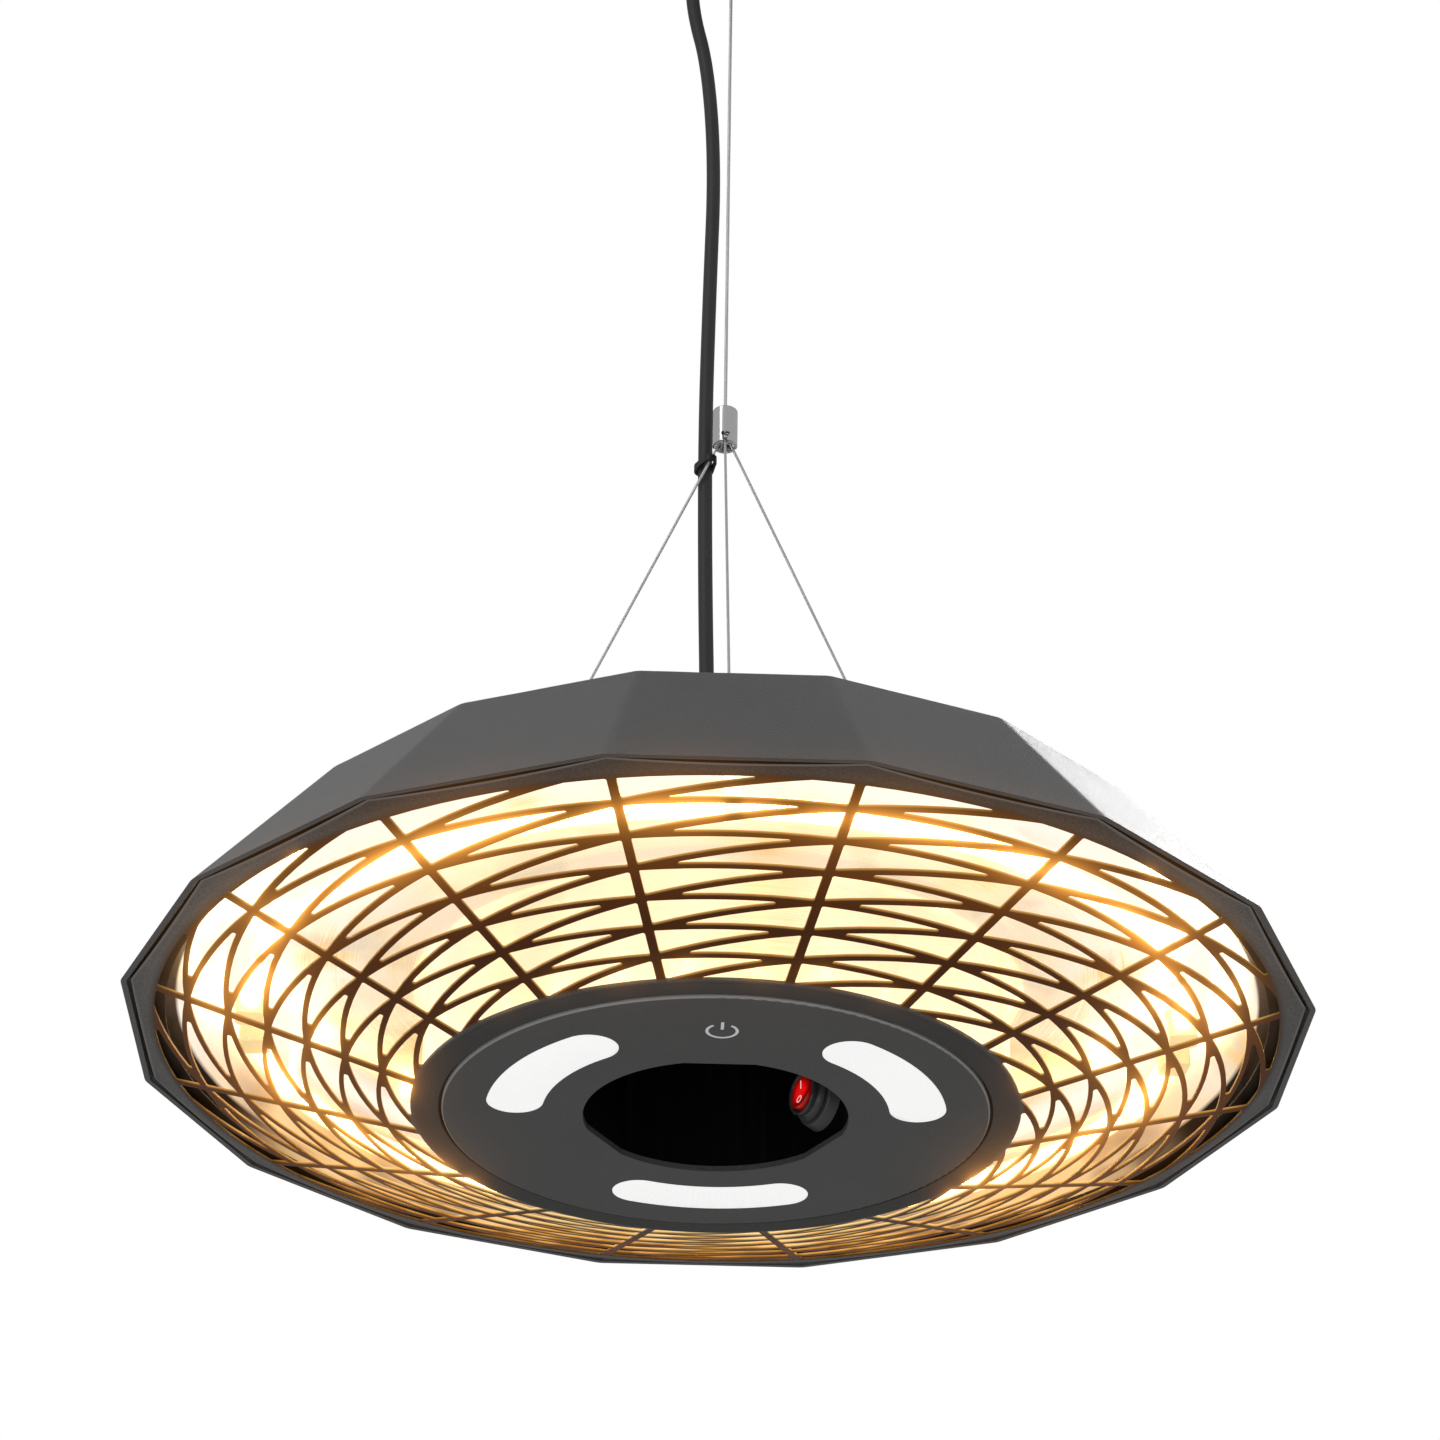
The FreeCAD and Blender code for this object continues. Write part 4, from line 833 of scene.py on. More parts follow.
def tube(name: str, line: list[Vector], radii: list[float], sides: int = 20,
         sharp_degrees: float = 50.0) -> bpy.types.Object:
    """Make a closed round tube along a line, with a radius at each point.

    Args:
        name: the object's name.
        line: the points along the middle.
        radii: the tube's radius at each point.
        sides: corners of the section.
        sharp_degrees: edges that turn by more stay sharp.

    Returns:
        The new object.
    """
    form = bmesh.new()
    across = Vector((1.0, 0.0, 0.0))
    loops = []
    for index, (point, radius) in enumerate(zip(line, radii)):
        ahead = (line[min(index + 1, len(line) - 1)] - line[max(index - 1, 0)]).normalized()
        across = (across - ahead * across.dot(ahead)).normalized()
        beside = ahead.cross(across)
        loops.append([form.verts.new(point + radius * (across * math.cos(a) + beside * math.sin(a)))
                      for a in (FULL_TURN * k / sides for k in range(sides))])
    for low, high in zip(loops, loops[1:]):
        for k in range(sides):
            form.faces.new((low[k], low[(k + 1) % sides], high[(k + 1) % sides], high[k]))
    form.faces.new(loops[0][::-1])
    form.faces.new(loops[-1])
    return molded(form, name, sharp_degrees)


class ShapeTree(Wiring):
    """A Geometry Nodes tree with named inputs that ends in Realize Instances and Set Material."""

    def __init__(self, name: str, **inputs: tuple[str, ...]) -> None:
        """Start a tree.

        Args:
            name: the tree's name.
            **inputs: names of its inputs by their kind.
        """
        super().__init__(bpy.data.node_groups.new(name, "GeometryNodeTree"))
        sockets = self.tree.interface
        self.keys: dict[str, str] = {}
        for kind, labels in {**inputs, "Material": ("Finish",)}.items():
            for label in labels:
                made = sockets.new_socket(label, in_out="INPUT", socket_type="NodeSocket" + kind)
                self.keys[label] = made.identifier
        sockets.new_socket("Geometry", in_out="OUTPUT", socket_type="NodeSocketGeometry")
        self.entry = self.node("NodeGroupInput").outputs

    def __getitem__(self, label: str) -> Socket:
        """Return the socket of one of the tree's inputs."""
        return self.entry[label]

    def shape(self, kind: str, inputs: dict[Any, Any], **settings: Any) -> Socket:
        """Add a node of the geometry family and return its first result."""
        return self.node("GeometryNode" + kind, inputs, **settings).outputs[0]

    def line(self, count: Any, place: Any, radius: Any, sides: int) -> Socket:
        """Sweep a round wire along a line whose points get their places from a formula.

        Args:
            count: number of points along the line.
            place: socket of the points' places, which reads the line's own factor.
            radius: the wire's radius.
            sides: corners of the wire's section.

        Returns:
            The mesh socket.
        """
        dense = self.shape("ResampleCurve", {"Curve": self.shape("CurvePrimitiveLine", {}), "Count": count})
        moved = self.shape("SetPosition", {"Geometry": dense, "Position": place})
        ring = self.shape("CurvePrimitiveCircle", {"Resolution": sides, "Radius": radius})
        return self.shape("CurveToMesh", {"Curve": moved, "Profile Curve": ring, "Fill Caps": True})

    def factor(self) -> Socket:
        """Return how far along its line a point is, from 0 to 1."""
        return self.node("GeometryNodeSplineParameter").outputs["Factor"]

    def share_turn(self, count: Any) -> Socket:
        """Return each point's angle where a count of points shares a full turn."""
        return self.times(self.shape("InputIndex", {}), self.math("DIVIDE", FULL_TURN, count))

    def circling(self, radius: Any, angle: Any, level: Any) -> Socket:
        """Return the place at a radius, angle and level about the axis."""
        return self.vector(self.times(radius, self.math("COSINE", angle)),
                           self.times(radius, self.math("SINE", angle)), level)

    def lifted(self, mesh: Socket, level: Any) -> Socket:
        """Move a mesh up to a level."""
        return self.shape("Transform", {"Geometry": mesh, "Translation": self.vector(z=level)})

    def join(self, *parts: Socket) -> Socket:
        """Put meshes together.

        Args:
            *parts: sockets of the meshes or instances.

        Returns:
            The socket of them all.
        """
        made = self.node("GeometryNodeJoinGeometry")
        for part in parts:
            self.feed(made.inputs[0], part)
        return made.outputs[0]

    def close(self, geometry: Socket) -> None:
        """End the tree.

        Args:
            geometry: socket of what the tree has made.
        """
        real = self.shape("RealizeInstances", {0: geometry})
        dressed = self.shape("SetMaterial", {"Geometry": real, "Material": self["Finish"]})
        self.node("NodeGroupOutput", {0: dressed})

    def make(self, name: str, values: dict[str, Any], sharp_degrees: float = 40.0) -> bpy.types.Object:
        """Grow a plain mesh object from the tree.

        Args:
            name: the object's name.
            values: the tree's inputs by name.
            sharp_degrees: edges that turn by more stay sharp.

        Returns:
            The new object.
        """
        seed = link(name + "_seed", bpy.data.meshes.new(name + "_seed"))
        grower = seed.modifiers.new("grower", "NODES")
        grower.node_group = self.tree
        for label, value in values.items():
            grower[self.keys[label]] = value
        piece = frozen(seed, name)
        smooth(piece.data, sharp_degrees)
        return piece


def coil_tree(sides: int = 5) -> ShapeTree:
    """Return the tree of a wire coil that follows an arc about the heater's axis.

    Args:
        sides: corners of the wire's section.

    Returns:
        The tree.
    """
    tree = ShapeTree("coil_on_arc", Float=("Ring", "Level", "Start", "Sweep", "Coil", "Turns", "Wire"),
                     Int=("Points",))
    along = tree.factor()
    angle = tree.plus(tree.times(along, tree["Sweep"]), tree["Start"])
    phase = tree.times(tree.times(along, tree["Turns"]), FULL_TURN)
    out = tree.times(tree.math("COSINE", phase), tree["Coil"])
    rise = tree.times(tree.math("SINE", phase), tree["Coil"])
    place = tree.circling(tree.plus(tree["Ring"], out), angle, tree.plus(tree["Level"], rise))
    tree.close(tree.line(tree["Points"], place, tree["Wire"], sides))
    return tree


def strand_tree(core_gain: float = 1.35, sides: int = 6) -> ShapeTree:
    """Return the tree of a stranded wire along +Z, then placed. A strand is a third of its width.

    Args:
        core_gain: the core's radius over a strand's, which closes the gaps between them.
        sides: corners of a strand's section.

    Returns:
        The tree of a core and its twisted outer strands.
    """
    tree = ShapeTree("stranded_wire", Float=("Length", "Radius", "Lay"), Int=("Strands", "Points"),
                     Vector=("Place", "Turn"))
    rise = tree.times(tree.factor(), tree["Length"])
    phase = tree.times(tree.math("DIVIDE", rise, tree["Lay"]), FULL_TURN)
    third = tree.math("DIVIDE", tree["Radius"], 3.0)
    helix = tree.circling(tree.times(third, 2.0), phase, rise)
    strand = tree.line(tree["Points"], helix, third, sides)
    core = tree.line(2, tree.vector(z=rise), tree.times(third, core_gain), sides)
    spots = tree.shape("Points", {"Count": tree["Strands"]})
    turn = tree.vector(z=tree.share_turn(tree["Strands"]))
    spread = tree.shape("InstanceOnPoints", {"Points": spots, "Instance": strand, "Rotation": turn})
    tree.close(tree.shape("Transform", {"Geometry": tree.join(spread, core), "Rotation": tree["Turn"],
                                        "Translation": tree["Place"]}))
    return tree


def screw_tree(sides: int = 28, shank_sides: int = 16, crown: float = 0.7, crown_steps: int = 3,
               recess: Span = (1.15, 0.26)) -> ShapeTree:
    """Return the tree of pan head screws with a cross recess, set on a ring of points.

    Args:
        sides: corners of the head.
        shank_sides: corners of the shank.
        crown: radius of the head's top over its foot's.
        crown_steps: rows of faces up the crown.
        recess: length and width of a slot over the head's radius.

    Returns:
        The tree.
    """
    tree = ShapeTree("cross_screws", Int=("Count",),
                     Float=("Ring", "Level", "Outward", "Head", "Height", "Shank", "Length"))
    head, height, shank = (tree[label] for label in ("Head", "Height", "Shank"))
    half = tree.times(height, 0.5)
    foot = {"Vertices": sides, "Radius Bottom": head, "Depth": half}
    drum = tree.shape("MeshCone", {**foot, "Radius Top": head})
    dome = tree.shape("MeshCone", {**foot, "Radius Top": tree.times(head, crown),
                                   "Side Segments": crown_steps})
    both = tree.node("GeometryNodeMeshBoolean", {"Mesh 2": drum}, operation="UNION")
    tree.feed(both.inputs["Mesh 2"], tree.lifted(dome, half))
    slots = []
    for long, short in (recess, recess[::-1]):
        size = tree.vector(tree.times(head, long), tree.times(head, short), height)
        slots.append(tree.lifted(tree.shape("MeshCube", {"Size": size}), height))
    cut = tree.shape("MeshBoolean", {"Mesh 1": both.outputs[0], "Mesh 2": tree.join(*slots)},
                     operation="DIFFERENCE")
    stem = tree.shape("MeshCone", {"Vertices": shank_sides, "Radius Top": shank, "Radius Bottom": shank,
                                   "Depth": tree["Length"]})
    whole = tree.join(cut, tree.lifted(stem, tree.times(tree["Length"], -1.0)))
    spot = tree.circling(tree["Ring"], tree.share_turn(tree["Count"]), tree["Level"])
    ring = tree.shape("Points", {"Count": tree["Count"], "Position": spot})
    flat = tree.node("ShaderNodeVectorMath", {0: tree.shape("InputPosition", {}), 1: (1.0, 1.0, 0.0)},
                     operation="MULTIPLY").outputs[0]
    aside = tree.node("ShaderNodeVectorMath", {0: flat, "Scale": tree["Outward"]}, operation="SCALE")
    upright = tree.vector(z=tree.math("SUBTRACT", 1.0, tree["Outward"]))
    axis = tree.node("ShaderNodeVectorMath", {0: aside.outputs[0], 1: upright}, operation="ADD").outputs[0]
    turn = tree.node("FunctionNodeAlignRotationToVector", {"Vector": axis}, axis="Z").outputs[0]
    tree.close(tree.shape("InstanceOnPoints", {"Points": ring, "Instance": whole, "Rotation": turn}))
    return tree


@dataclass
class ScrewRing:
    """Pan head screws that stand on a ring, upright or facing outward."""

    count: int
    ring: float
    level: float
    length: float
    outward: float = 0.0
    head: float = 3.0 * MM
    height: float = 1.8 * MM
    shank: float = 1.5 * MM

    def build(self, name: str, body: Body, node: str) -> None:
        """Set the screws.

        Args:
            name: the piece's name.
            body: the body that it rides on.
            node: the CAD node that it stands for.
        """
        piece = screw_tree().make(name, {
            "Count": self.count, "Ring": self.ring, "Level": self.level, "Outward": self.outward,
            "Head": self.head, "Height": self.height, "Shank": self.shank, "Length": self.length,
            "Finish": FINISHES["fastener_steel"].material()})
        settle(piece, body, "fastener_steel", node)


# The heater's sub-assemblies


@dataclass
class Assembly:
    """CAD nodes that only need a smooth copy and their slot's finish."""

    nodes: tuple[str, ...] = ()

    def build(self) -> None:
        """Make the smooth copies, then the pieces of this assembly alone."""
        for node in self.nodes:
            skin(node)
        self.details()

    def details(self) -> None:
        """Make the pieces that the CAD nodes don't have."""


@dataclass
class Casing(Assembly):
    """Faceted upper shell with its core drum, its electrics and the screws on its top."""

    nodes: tuple[str, ...] = ("upper_casing", "core_drum", "core_screws", "control_box", "light_driver",
                              "terminal_block", "body_gland", "body_gland_nut")
    screws: ScrewRing = field(default_factory=lambda: ScrewRing(
        count=6, ring=140.25 * MM, level=RIM + 86.4 * MM, length=8.0 * MM))

    def details(self) -> None:
        """Set the cross-recess screws on the casing top."""
        self.screws.build("casing_top_screws", Body.HEATER, "casing_screws")


@dataclass
class Grille(Assembly):
    """Pierced front sheet and the ring behind its rim, painted near black as shade."""

    nodes: tuple[str, ...] = ("front_grille",)

    def details(self) -> None:
        """Paint the ring behind the rim near black, as painted shade."""
        skin("rim_ring", RIM_SHADE_FINISH)


@dataclass
class HeatRing(Assembly):
    """Reflector and the two glowing half-ring tubes with their coils, ends, clips and leads."""

    nodes: tuple[str, ...] = ("reflector", "heat_tube_front", "heat_tube_rear", "tube_end_caps",
                              "tube_leads", "lead_bushings")
    lit_nodes: tuple[str, ...] = ("tube_clips", "clip_screws")
    ring: float = 235.0 * MM
    level: float = RIM + 8.0 * MM
    half_span: float = 84.0
    coil: float = 2.2 * MM
    pitch: float = 2.3 * MM
    wire: float = 0.45 * MM
    points_per_turn: int = 8
    middles: dict[str, float] = field(default_factory=lambda: {"front": 270.0, "rear": 90.0})
    lamp_count: int = 20
    lamp_level: float = RIM + 17.0 * MM
    lamp_power: float = 0.02
    lamp_color: Color = (1.0, 0.66, 0.32)

    def details(self) -> None:
        """Light the clips, wind the coils and set the lamps that stand for their light."""
        for node in self.lit_nodes:
            skin(node, CLIP_FINISH)
        tree = coil_tree()
        sweep = math.radians(2 * self.half_span)
        turns = round(sweep * self.ring / self.pitch)
        for name, middle in self.middles.items():
            piece = tree.make("filament_coil_" + name, {
                "Ring": self.ring, "Level": self.level, "Start": math.radians(middle - self.half_span),
                "Sweep": sweep, "Coil": self.coil - self.wire, "Turns": float(turns), "Wire": self.wire,
                "Points": turns * self.points_per_turn, "Finish": FINISHES["filament_wire"].material()})
            settle(piece, Body.HEATER, "filament_wire", "filament_" + name)
        for index in range(self.lamp_count):
            self.lamp(f"tube_lamp_{index}", FULL_TURN * (index + 0.5) / self.lamp_count)

    def lamp(self, name: str, angle: float) -> None:
        """Set one small lamp over the tubes.

        Args:
            name: the lamp's name.
            angle: its angle about the heater's axis.
        """
        lamp = bpy.data.lights.new(name, "POINT")
        lamp.energy = self.lamp_power
        lamp.color = self.lamp_color
        lamp.shadow_soft_size = self.coil
        made = link(name, lamp)
        made.location = (self.ring * math.cos(angle), self.ring * math.sin(angle), self.lamp_level)
        made.visible_camera = False
        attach(made, Body.HEATER.value)


@dataclass
class Panel(Assembly):
    """Control panel with its windows, lights, touch mark and the deep well in its middle."""

    nodes: tuple[str, ...] = ("control_panel", "light_lens_rear", "light_lens_left", "light_lens_right",
                              "light_board_rear", "light_board_left", "light_board_right", "power_icon",
                              "touch_board", "center_well", "well_screws")


@dataclass
class Switch(Assembly):
    """Main switch on the well's flat, with the I and O marks on its rocker."""

    nodes: tuple[str, ...] = ("switch_boot", "switch_housing", "switch_rocker", "rocker_pin", "switch_nut")
    pivot: Vector = field(default_factory=lambda: Vector((45.813, 26.45, -803.0)) * MM)
    azimuth: float = 30.0
    crown: float = 2.2 * MM
    half_throw: float = 7.0
    mark_offset: float = 4.2 * MM
    bar: Span = (0.6 * MM, 4.4 * MM)
    loop: Span = (2.1 * MM, 1.55 * MM)
    loop_corners: int = 40
    sunk: float = 0.08 * MM
    proud: float = 0.12 * MM

    def details(self) -> None:
        """Lay the two marks on the rocker's halves."""
        angle = math.radians(self.azimuth)
        across = Vector((math.sin(angle), -math.cos(angle), 0.0))
        outward = Vector((-math.cos(angle), -math.sin(angle), 0.0))
        upright = Matrix((across, Vector((0.0, 0.0, 1.0)), outward)).transposed().to_4x4()
        lean = math.radians(self.half_throw)
        fold = Matrix.Translation((0.0, self.crown * math.sin(lean), self.crown * math.cos(lean)))
        upper = Matrix.Translation(self.pivot) @ upright @ fold
        lower = upper @ Matrix.Rotation(-2 * lean, 4, "X")
        form = bmesh.new()
        width, length = (size / 2 for size in self.bar)
        stroke = [Vector((x * width, y * length + self.mark_offset, 0.0))
                  for x, y in ((-1, -1), (1, -1), (1, 1), (-1, 1))]
        self.raised(form, [stroke], upper)
        steps = [FULL_TURN * k / self.loop_corners for k in range(self.loop_corners)]
        circles = [[Vector((r * math.cos(a), r * math.sin(a) - self.mark_offset, 0.0)) for a in steps]
                   for r in self.loop]
        self.raised(form, circles, lower)
        piece = molded(form, "rocker_marks")
        piece.data.materials.append(MARK_FINISH.material())
        settle(piece, Body.ROCKER, "rocker_plastic")

    def raised(self, form: bmesh.types.BMesh, outlines: list[list[Vector]], place: Matrix) -> None:
        """Add a flat raised mark to a mesh.

        Args:
            form: the mesh under construction.
            outlines: the outer outline, and the inner one of a ring.
            place: the mark's plane.
        """
        levels = []
        for height in (-self.sunk, self.proud):
            lift = Vector((0.0, 0.0, height))
            levels.append([[form.verts.new(place @ (point + lift)) for point in line] for line in outlines])
        bottom, top = levels
        count = len(outlines[0])
        for side, (low, high) in enumerate(zip(bottom, top)):
            for k in range(count):
                ring = (low[k], low[(k + 1) % count], high[(k + 1) % count], high[k])
                form.faces.new(ring if side == 0 else ring[::-1])
        if len(outlines) == 1:
            form.faces.new(top[0])
            form.faces.new(bottom[0][::-1])
            return
        for k in range(count):
            ahead = (k + 1) % count
            form.faces.new((top[0][k], top[0][ahead], top[1][ahead], top[1][k]))
            form.faces.new((bottom[1][k], bottom[1][ahead], bottom[0][ahead], bottom[0][k]))


@dataclass
class Suspension(Assembly):
    """Steel wires with the hub, its ball ends and the anchors on the casing."""

    nodes: tuple[str, ...] = ("wire_eye", "wire_hub", "hub_screw", "leg_ball_ends", "wire_anchors",
                              "anchor_nuts")
    strands: int = 6
    points_per_lay: int = 10
    sharp_degrees: float = 60.0
    main_radius: float = 1.0 * MM
    main_lay: float = 15.0 * MM
    leg_radius: float = 0.8 * MM
    leg_lay: float = 12.0 * MM
    hub_top: float = RIM + 391.0 * MM
    main_top: float = -34.0 * MM
    grip: float = 12.0 * MM
    ball_ring: float = 2.7 * MM
    ball_level: float = RIM + 372.0 * MM
    anchor_ring: float = 166.0 * MM
    anchor_level: float = RIM + 95.4 * MM
    legs: dict[str, float] = field(default_factory=lambda: {"front": 270.0, "left": 150.0, "right": 30.0})

    def details(self) -> None:
        """Lay the main wire and the three leg wires."""
        tree = strand_tree()
        low, high = Vector((0.0, 0.0, self.hub_top - self.grip)), Vector((0.0, 0.0, self.main_top))
        self.wire(tree, "main_wire", low, high, self.main_radius, self.main_lay)
        for name, azimuth in self.legs.items():
            heading = Vector((math.cos(math.radians(azimuth)), math.sin(math.radians(azimuth)), 0.0))
            foot = heading * self.anchor_ring + Vector((0.0, 0.0, self.anchor_level))
            head = heading * self.ball_ring + Vector((0.0, 0.0, self.ball_level))
            self.wire(tree, "leg_wire_" + name, foot, head, self.leg_radius, self.leg_lay)

    def wire(self, tree: ShapeTree, node: str, low: Vector, high: Vector, radius: float,
             lay: float) -> None:
        """Lay one stranded wire in place of its plain CAD bar.

        Args:
            tree: the stranded wire's tree.
            node: the CAD node that it stands for.
            low: its lower end.
            high: its upper end.
            radius: outside radius.
            lay: length of one turn of the strands.
        """
        along = high - low
        turn = along.to_track_quat("Z", "Y").to_euler()
        piece = tree.make(node + "_strands", {
            "Length": along.length, "Radius": radius, "Lay": lay, "Strands": self.strands,
            "Points": round(along.length / lay * self.points_per_lay), "Place": low, "Turn": Vector(turn),
            "Finish": FINISHES["wire_steel"].material()}, self.sharp_degrees)
        settle(piece, Body.HEATER, "wire_steel", node)


@dataclass
class SupplyCord(Assembly):
    """Mains cord from the terminal block to the ceiling, its strain reliefs and its tie.

    The route is in millimetres, with heights over the rim.
    """

    nodes: tuple[str, ...] = ("cable_tie",)
    radius: float = 4.0 * MM
    route: tuple[Color, ...] = (
        (-9.5, 0.0, 69.2), (-7.0, 0.0, 180.0), (-9.6, 10.2, 285.0), (-10.9, 14.4, 390.0),
        (-9.6, 13.6, 485.0), (-7.8, 12.0, 575.0), (-13.0, 11.0, 650.0), (-23.0, 7.0, 690.0),
        (-24.0, 0.0, 722.0), (-24.0, 0.0, 746.0))
    smoothness: int = 24
    bend_start: float = -0.40
    lower_sleeve: Span = (RIM + 106.4 * MM, RIM + 134.0 * MM)
    upper_sleeve: Span = (-0.064, -0.090)
    sleeve_radii: Span = (6.6 * MM, 4.7 * MM)
    sleeve_sides: int = 28
    sleeve_ribs: int = 6
    steps_per_rib: int = 6
    rib_depth: float = 0.5 * MM

    def details(self) -> None:
        """Draw the cord on its spline, then the sleeves at its two ends."""
        line = self.spline()
        cord = tube("power_cord_sheath", line, [self.radius] * len(line))
        cord.data.materials.append(FINISHES["cord_rubber"].material())
        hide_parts("power_cord")
        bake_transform(cord)
        sleeves = [self.sleeve("cord_sleeve_casing", line, self.lower_sleeve, Body.HEATER),
                   self.sleeve("cord_sleeve_ceiling", line, self.upper_sleeve, Body.CEILING)]
        2 * self.radius

    def spline(self) -> list[Vector]:
        """Draw a smooth spline over the cord's route.

        Returns:
            The spline's points, from the casing up.
        """
        curve = bpy.data.curves.new("cord_route", "CURVE")
        curve.dimensions = "3D"
        curve.resolution_u = self.smoothness
        run = curve.splines.new("NURBS")
        run.points.add(len(self.route) - 1)
        for spot, (x, y, height) in zip(run.points, self.route):
            spot.co = (x * MM, y * MM, RIM + height * MM, 1.0)
        run.order_u = 3
        run.use_endpoint_u = True
        guide = link("cord_route", curve)
        mesh = evaluated(guide)
        line = [vertex.co.copy() for vertex in mesh.vertices]
        bpy.data.meshes.remove(mesh)
        bpy.data.objects.remove(guide)
        bpy.data.curves.remove(curve)
        return line if line[0].z < line[-1].z else line[::-1]

    def sleeve(self, name: str, line: list[Vector], levels: Span, body: Body) -> bpy.types.Object:
        """Make a ribbed, tapered strain relief that follows the cord.

        Args:
            name: the piece's name.
            line: the cord's points.
            levels: levels of the thick and the thin end.
            body: the body that it rides on.

        Returns:
            The new piece.
        """
        foot, tip = levels
        thick, thin = self.sleeve_radii
        steps = self.sleeve_ribs * self.steps_per_rib
        points, radii = [], []
        for step in range(steps + 1):
            share = step / steps
            rib = 0.5 + 0.5 * math.cos(FULL_TURN * self.sleeve_ribs * share)
            points.append(self.at_level(line, foot + (tip - foot) * share))
            radii.append(thick + (thin - thick) * share - self.rib_depth * (1 - rib) * (1 - share))
        return settle(tube(name, points, radii, self.sleeve_sides), body, "gland_plastic")

    @staticmethod
    def at_level(line: list[Vector], level: float) -> Vector:
        """Find the cord's point at a level.

        Args:
            line: the cord's points, from the casing up.
            level: height to look for.

        Returns:
            The point.
        """
        for low, high in zip(line, line[1:]):
            if low.z <= level <= high.z:
                return low.lerp(high, (level - low.z) / (high.z - low.z))
        raise ValueError("the cord does not reach this level")


@dataclass
class CeilingFitting(Assembly):
    """Plate, bracket and canopy at the ceiling."""

    nodes: tuple[str, ...] = ("ceiling_plate", "hanger_bracket", "hanger_pin", "pin_clip", "ceiling_canopy",
                              "canopy_gland", "canopy_gland_nut", "supply_terminals")
    screws: ScrewRing = field(default_factory=lambda: ScrewRing(
        count=2, ring=58.0 * MM, level=-9.5 * MM, length=5.7 * MM, outward=1.0))

    def details(self) -> None:
        """Set the canopy's two side screws."""
        self.screws.build("canopy_side_screws", Body.CEILING, "canopy_screws")


# Studio


class Softbox(Enum):
    """The studio's lights: place, width, height and power."""

    RIGHT_REAR = ((1.0, 1.95, 0.28), 2.4, 1.7, 74.0)
    STRIP = ((-1.05, -1.26, 0.73), 0.40, 1.3, 5.0)
    FRONT_LOW = ((-0.9, -2.4, -1.9), 1.6, 1.2, 14.0)


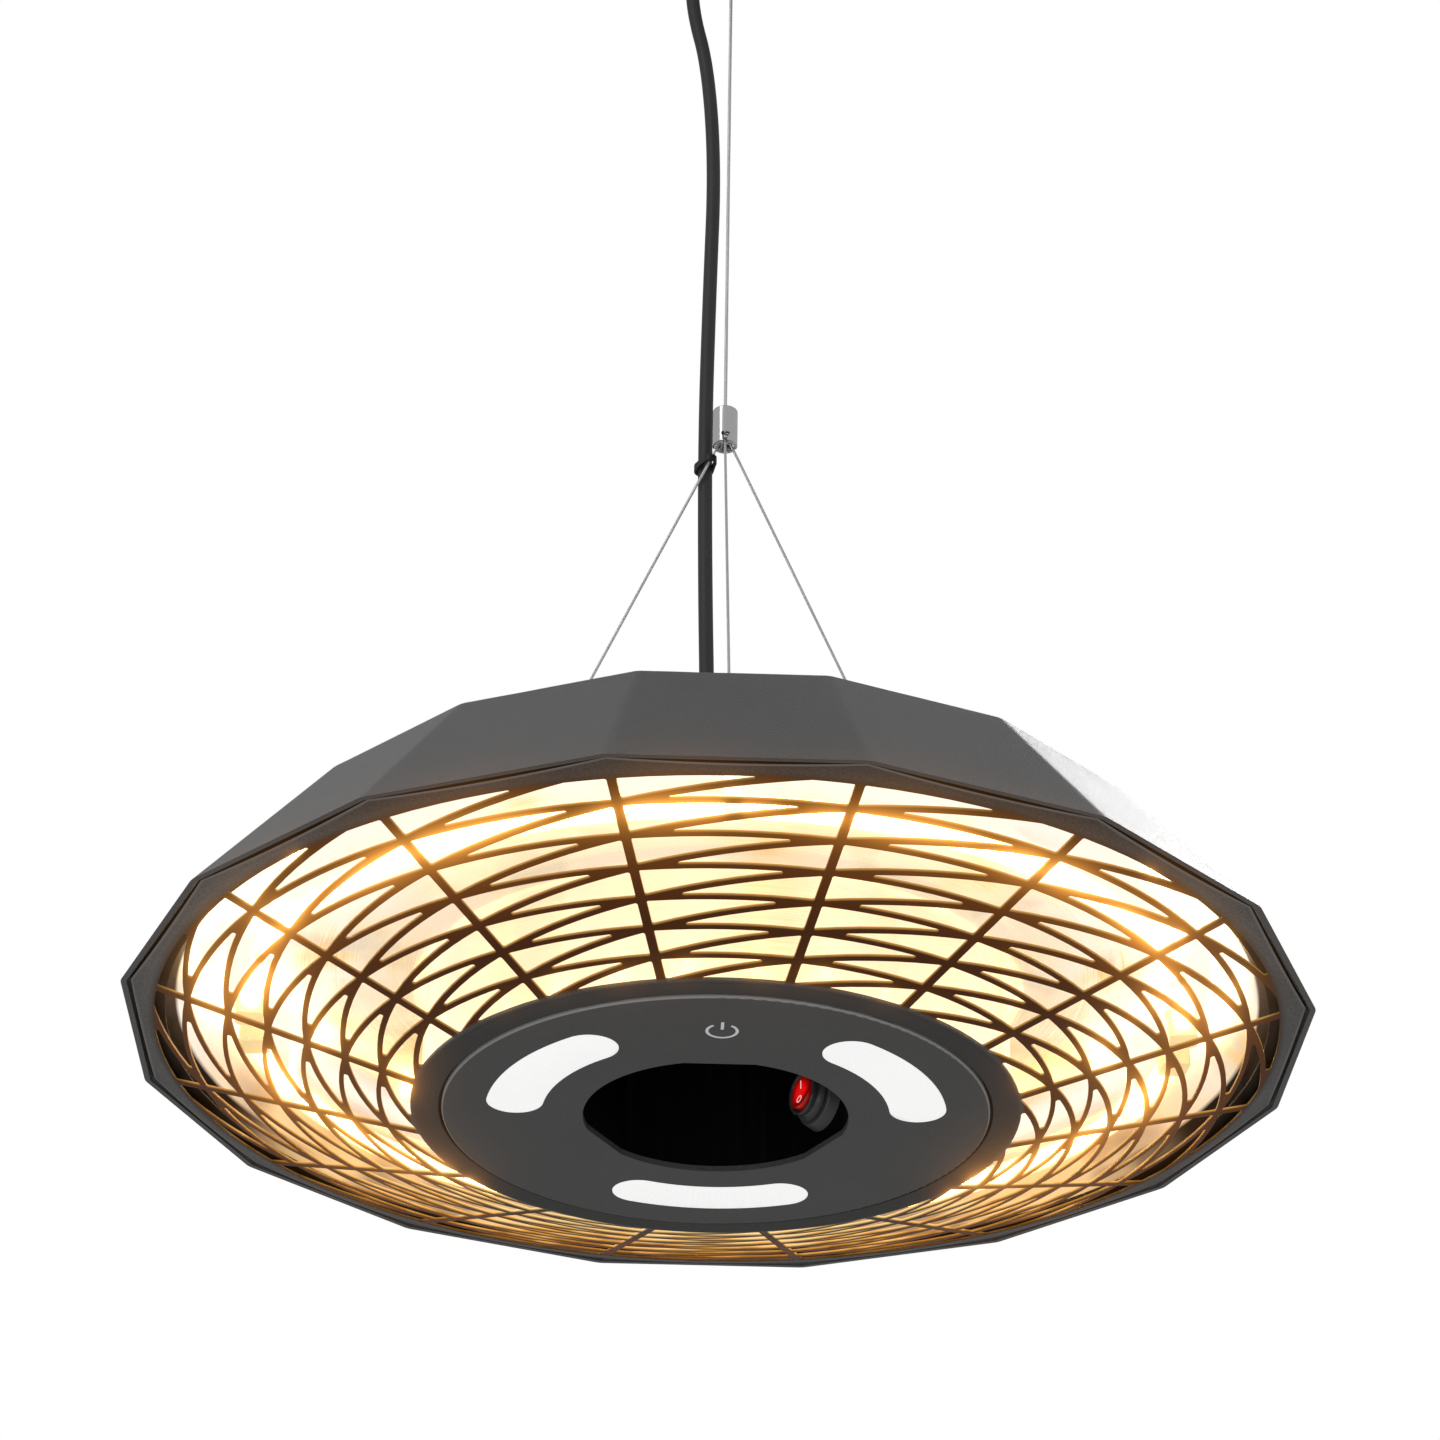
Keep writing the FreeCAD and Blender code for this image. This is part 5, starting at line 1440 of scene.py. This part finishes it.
@dataclass
class Studio:
    """White surroundings, pale floor, soft lights and the camera."""

    aim: Vector = field(default_factory=lambda: Vector((0.0, 0.0, -0.74)))
    floor_level: float = -3.0
    floor_half: float = 9.0
    surround: float = 0.48
    eye: Vector = field(default_factory=lambda: Vector((-0.0419, -1.6791, -1.5835)))
    heading: float = 1.410
    pitch: float = 30.378
    roll: float = 0.797
    lens: float = 91.51
    sensor: float = 36.0
    nearest: float = 0.05
    bloom_start: float = 1.6
    bloom_share: float = 0.7
    bloom_size: float = 0.05
    bloom_tint: Color = (1.0, 0.70, 0.28)

    def build(self) -> None:
        """Make surroundings, floor, lights and camera."""
        scene = bpy.context.scene
        scene.view_settings.view_transform = "Standard"
        self.surroundings(scene)
        self.floor()
        for box in Softbox:
            self.softbox(box)
        self.camera(scene)
        self.bloom(scene)

    def bloom(self, scene: bpy.types.Scene) -> None:
        """Let what is brighter than white glow over its neighbours, as it does in a lens.

        Args:
            scene: the scene whose picture gets the glow.
        """
        scene.use_nodes = True
        wiring = Wiring(scene.node_tree)
        wiring.tree.nodes.clear()
        glow = wiring.node("CompositorNodeGlare", {
            "Image": wiring.node("CompositorNodeRLayers").outputs["Image"], "Threshold": self.bloom_start,
            "Strength": self.bloom_share, "Size": self.bloom_size, "Tint": self.bloom_tint},
            glare_type="BLOOM", quality="HIGH")
        wiring.node("CompositorNodeComposite", {"Image": glow.outputs["Image"]})

    def spare_wires(self, casing: bpy.types.Object) -> None:
        """Keep the rear light on the casing, so that wires and cord get no bright rims.

        Args:
            casing: the one piece that the rear light falls on.
        """
        lit = bpy.data.collections.new("rear_light_falls_on")
        lit.objects.link(casing)
        bpy.data.objects[Softbox.RIGHT_REAR.name.lower()].light_linking.receiver_collection = lit

    def surroundings(self, scene: bpy.types.Scene) -> None:
        """Light the scene from all round, and show plain white behind the heater.

        Args:
            scene: the scene to light.
        """
        scene.world = bpy.data.worlds.new("white_studio")
        scene.world.use_nodes = True
        wiring = Wiring(scene.world.node_tree)
        wiring.tree.nodes.remove(wiring.tree.nodes["Background"])
        lit, seen = (wiring.node("ShaderNodeBackground", {"Color": WHITE, "Strength": strength}).outputs[0]
                     for strength in (self.surround, 1.0))
        path = wiring.node("ShaderNodeLightPath").outputs["Is Camera Ray"]
        pick = wiring.node("ShaderNodeMixShader", {0: path, 1: lit, 2: seen}).outputs[0]
        wiring.feed(wiring.tree.nodes["World Output"].inputs["Surface"], pick)

    def floor(self) -> None:
        """Lay the pale floor far below."""
        form = bmesh.new()
        bmesh.ops.create_grid(form, x_segments=2, y_segments=2, size=self.floor_half)
        bmesh.ops.translate(form, verts=form.verts, vec=(0.0, 0.0, self.floor_level))
        piece = molded(form, "pale_floor")
        piece.data.materials.append(FLOOR_FINISH.material())

    def softbox(self, box: Softbox) -> None:
        """Set one soft light that faces the heater.

        Args:
            box: which light.
        """
        place, width, height, power = box.value
        lamp = bpy.data.lights.new(box.name.lower(), "AREA")
        lamp.shape = "RECTANGLE"
        lamp.size, lamp.size_y = width, height
        lamp.energy = power
        made = link(lamp.name, lamp)
        made.location = place
        made.rotation_euler = (self.aim - Vector(place)).to_track_quat("-Z", "Y").to_euler()
        made.visible_camera = False

    def camera(self, scene: bpy.types.Scene) -> None:
        """Set the camera below and in front, looking up.

        Args:
            scene: the scene that it serves.
        """
        turn, rise, lean = (math.radians(angle) for angle in (self.heading, self.pitch, self.roll))
        ahead = Vector((math.sin(turn) * math.cos(rise), math.cos(turn) * math.cos(rise), math.sin(rise)))
        right = ahead.cross(Vector((0.0, 0.0, 1.0))).normalized()
        up = right.cross(ahead)
        level = Matrix((right * math.cos(lean) + up * math.sin(lean),
                        up * math.cos(lean) - right * math.sin(lean), -ahead)).transposed()
        lens = bpy.data.cameras.new("camera")
        lens.lens = self.lens
        lens.sensor_width = self.sensor
        lens.clip_start = self.nearest
        scene.camera = link("camera", lens)
        scene.camera.matrix_world = Matrix.Translation(self.eye) @ level.to_4x4()


def main() -> None:
    """Build the studio and every sub-assembly, in order."""
    logging.basicConfig(level=logging.INFO, format="%(name)s %(message)s")
    studio = Studio()
    studio.build()
    for assembly in (SupplyCord(), CeilingFitting(), Suspension(), Casing(), Grille(), HeatRing(), Panel(),
                     Switch()):
        LOG.info("building %s", type(assembly).__name__)
        assembly.build()
    studio.spare_wires(bpy.data.objects["upper_casing_skin"])


if __name__ == "__main__":
    main()
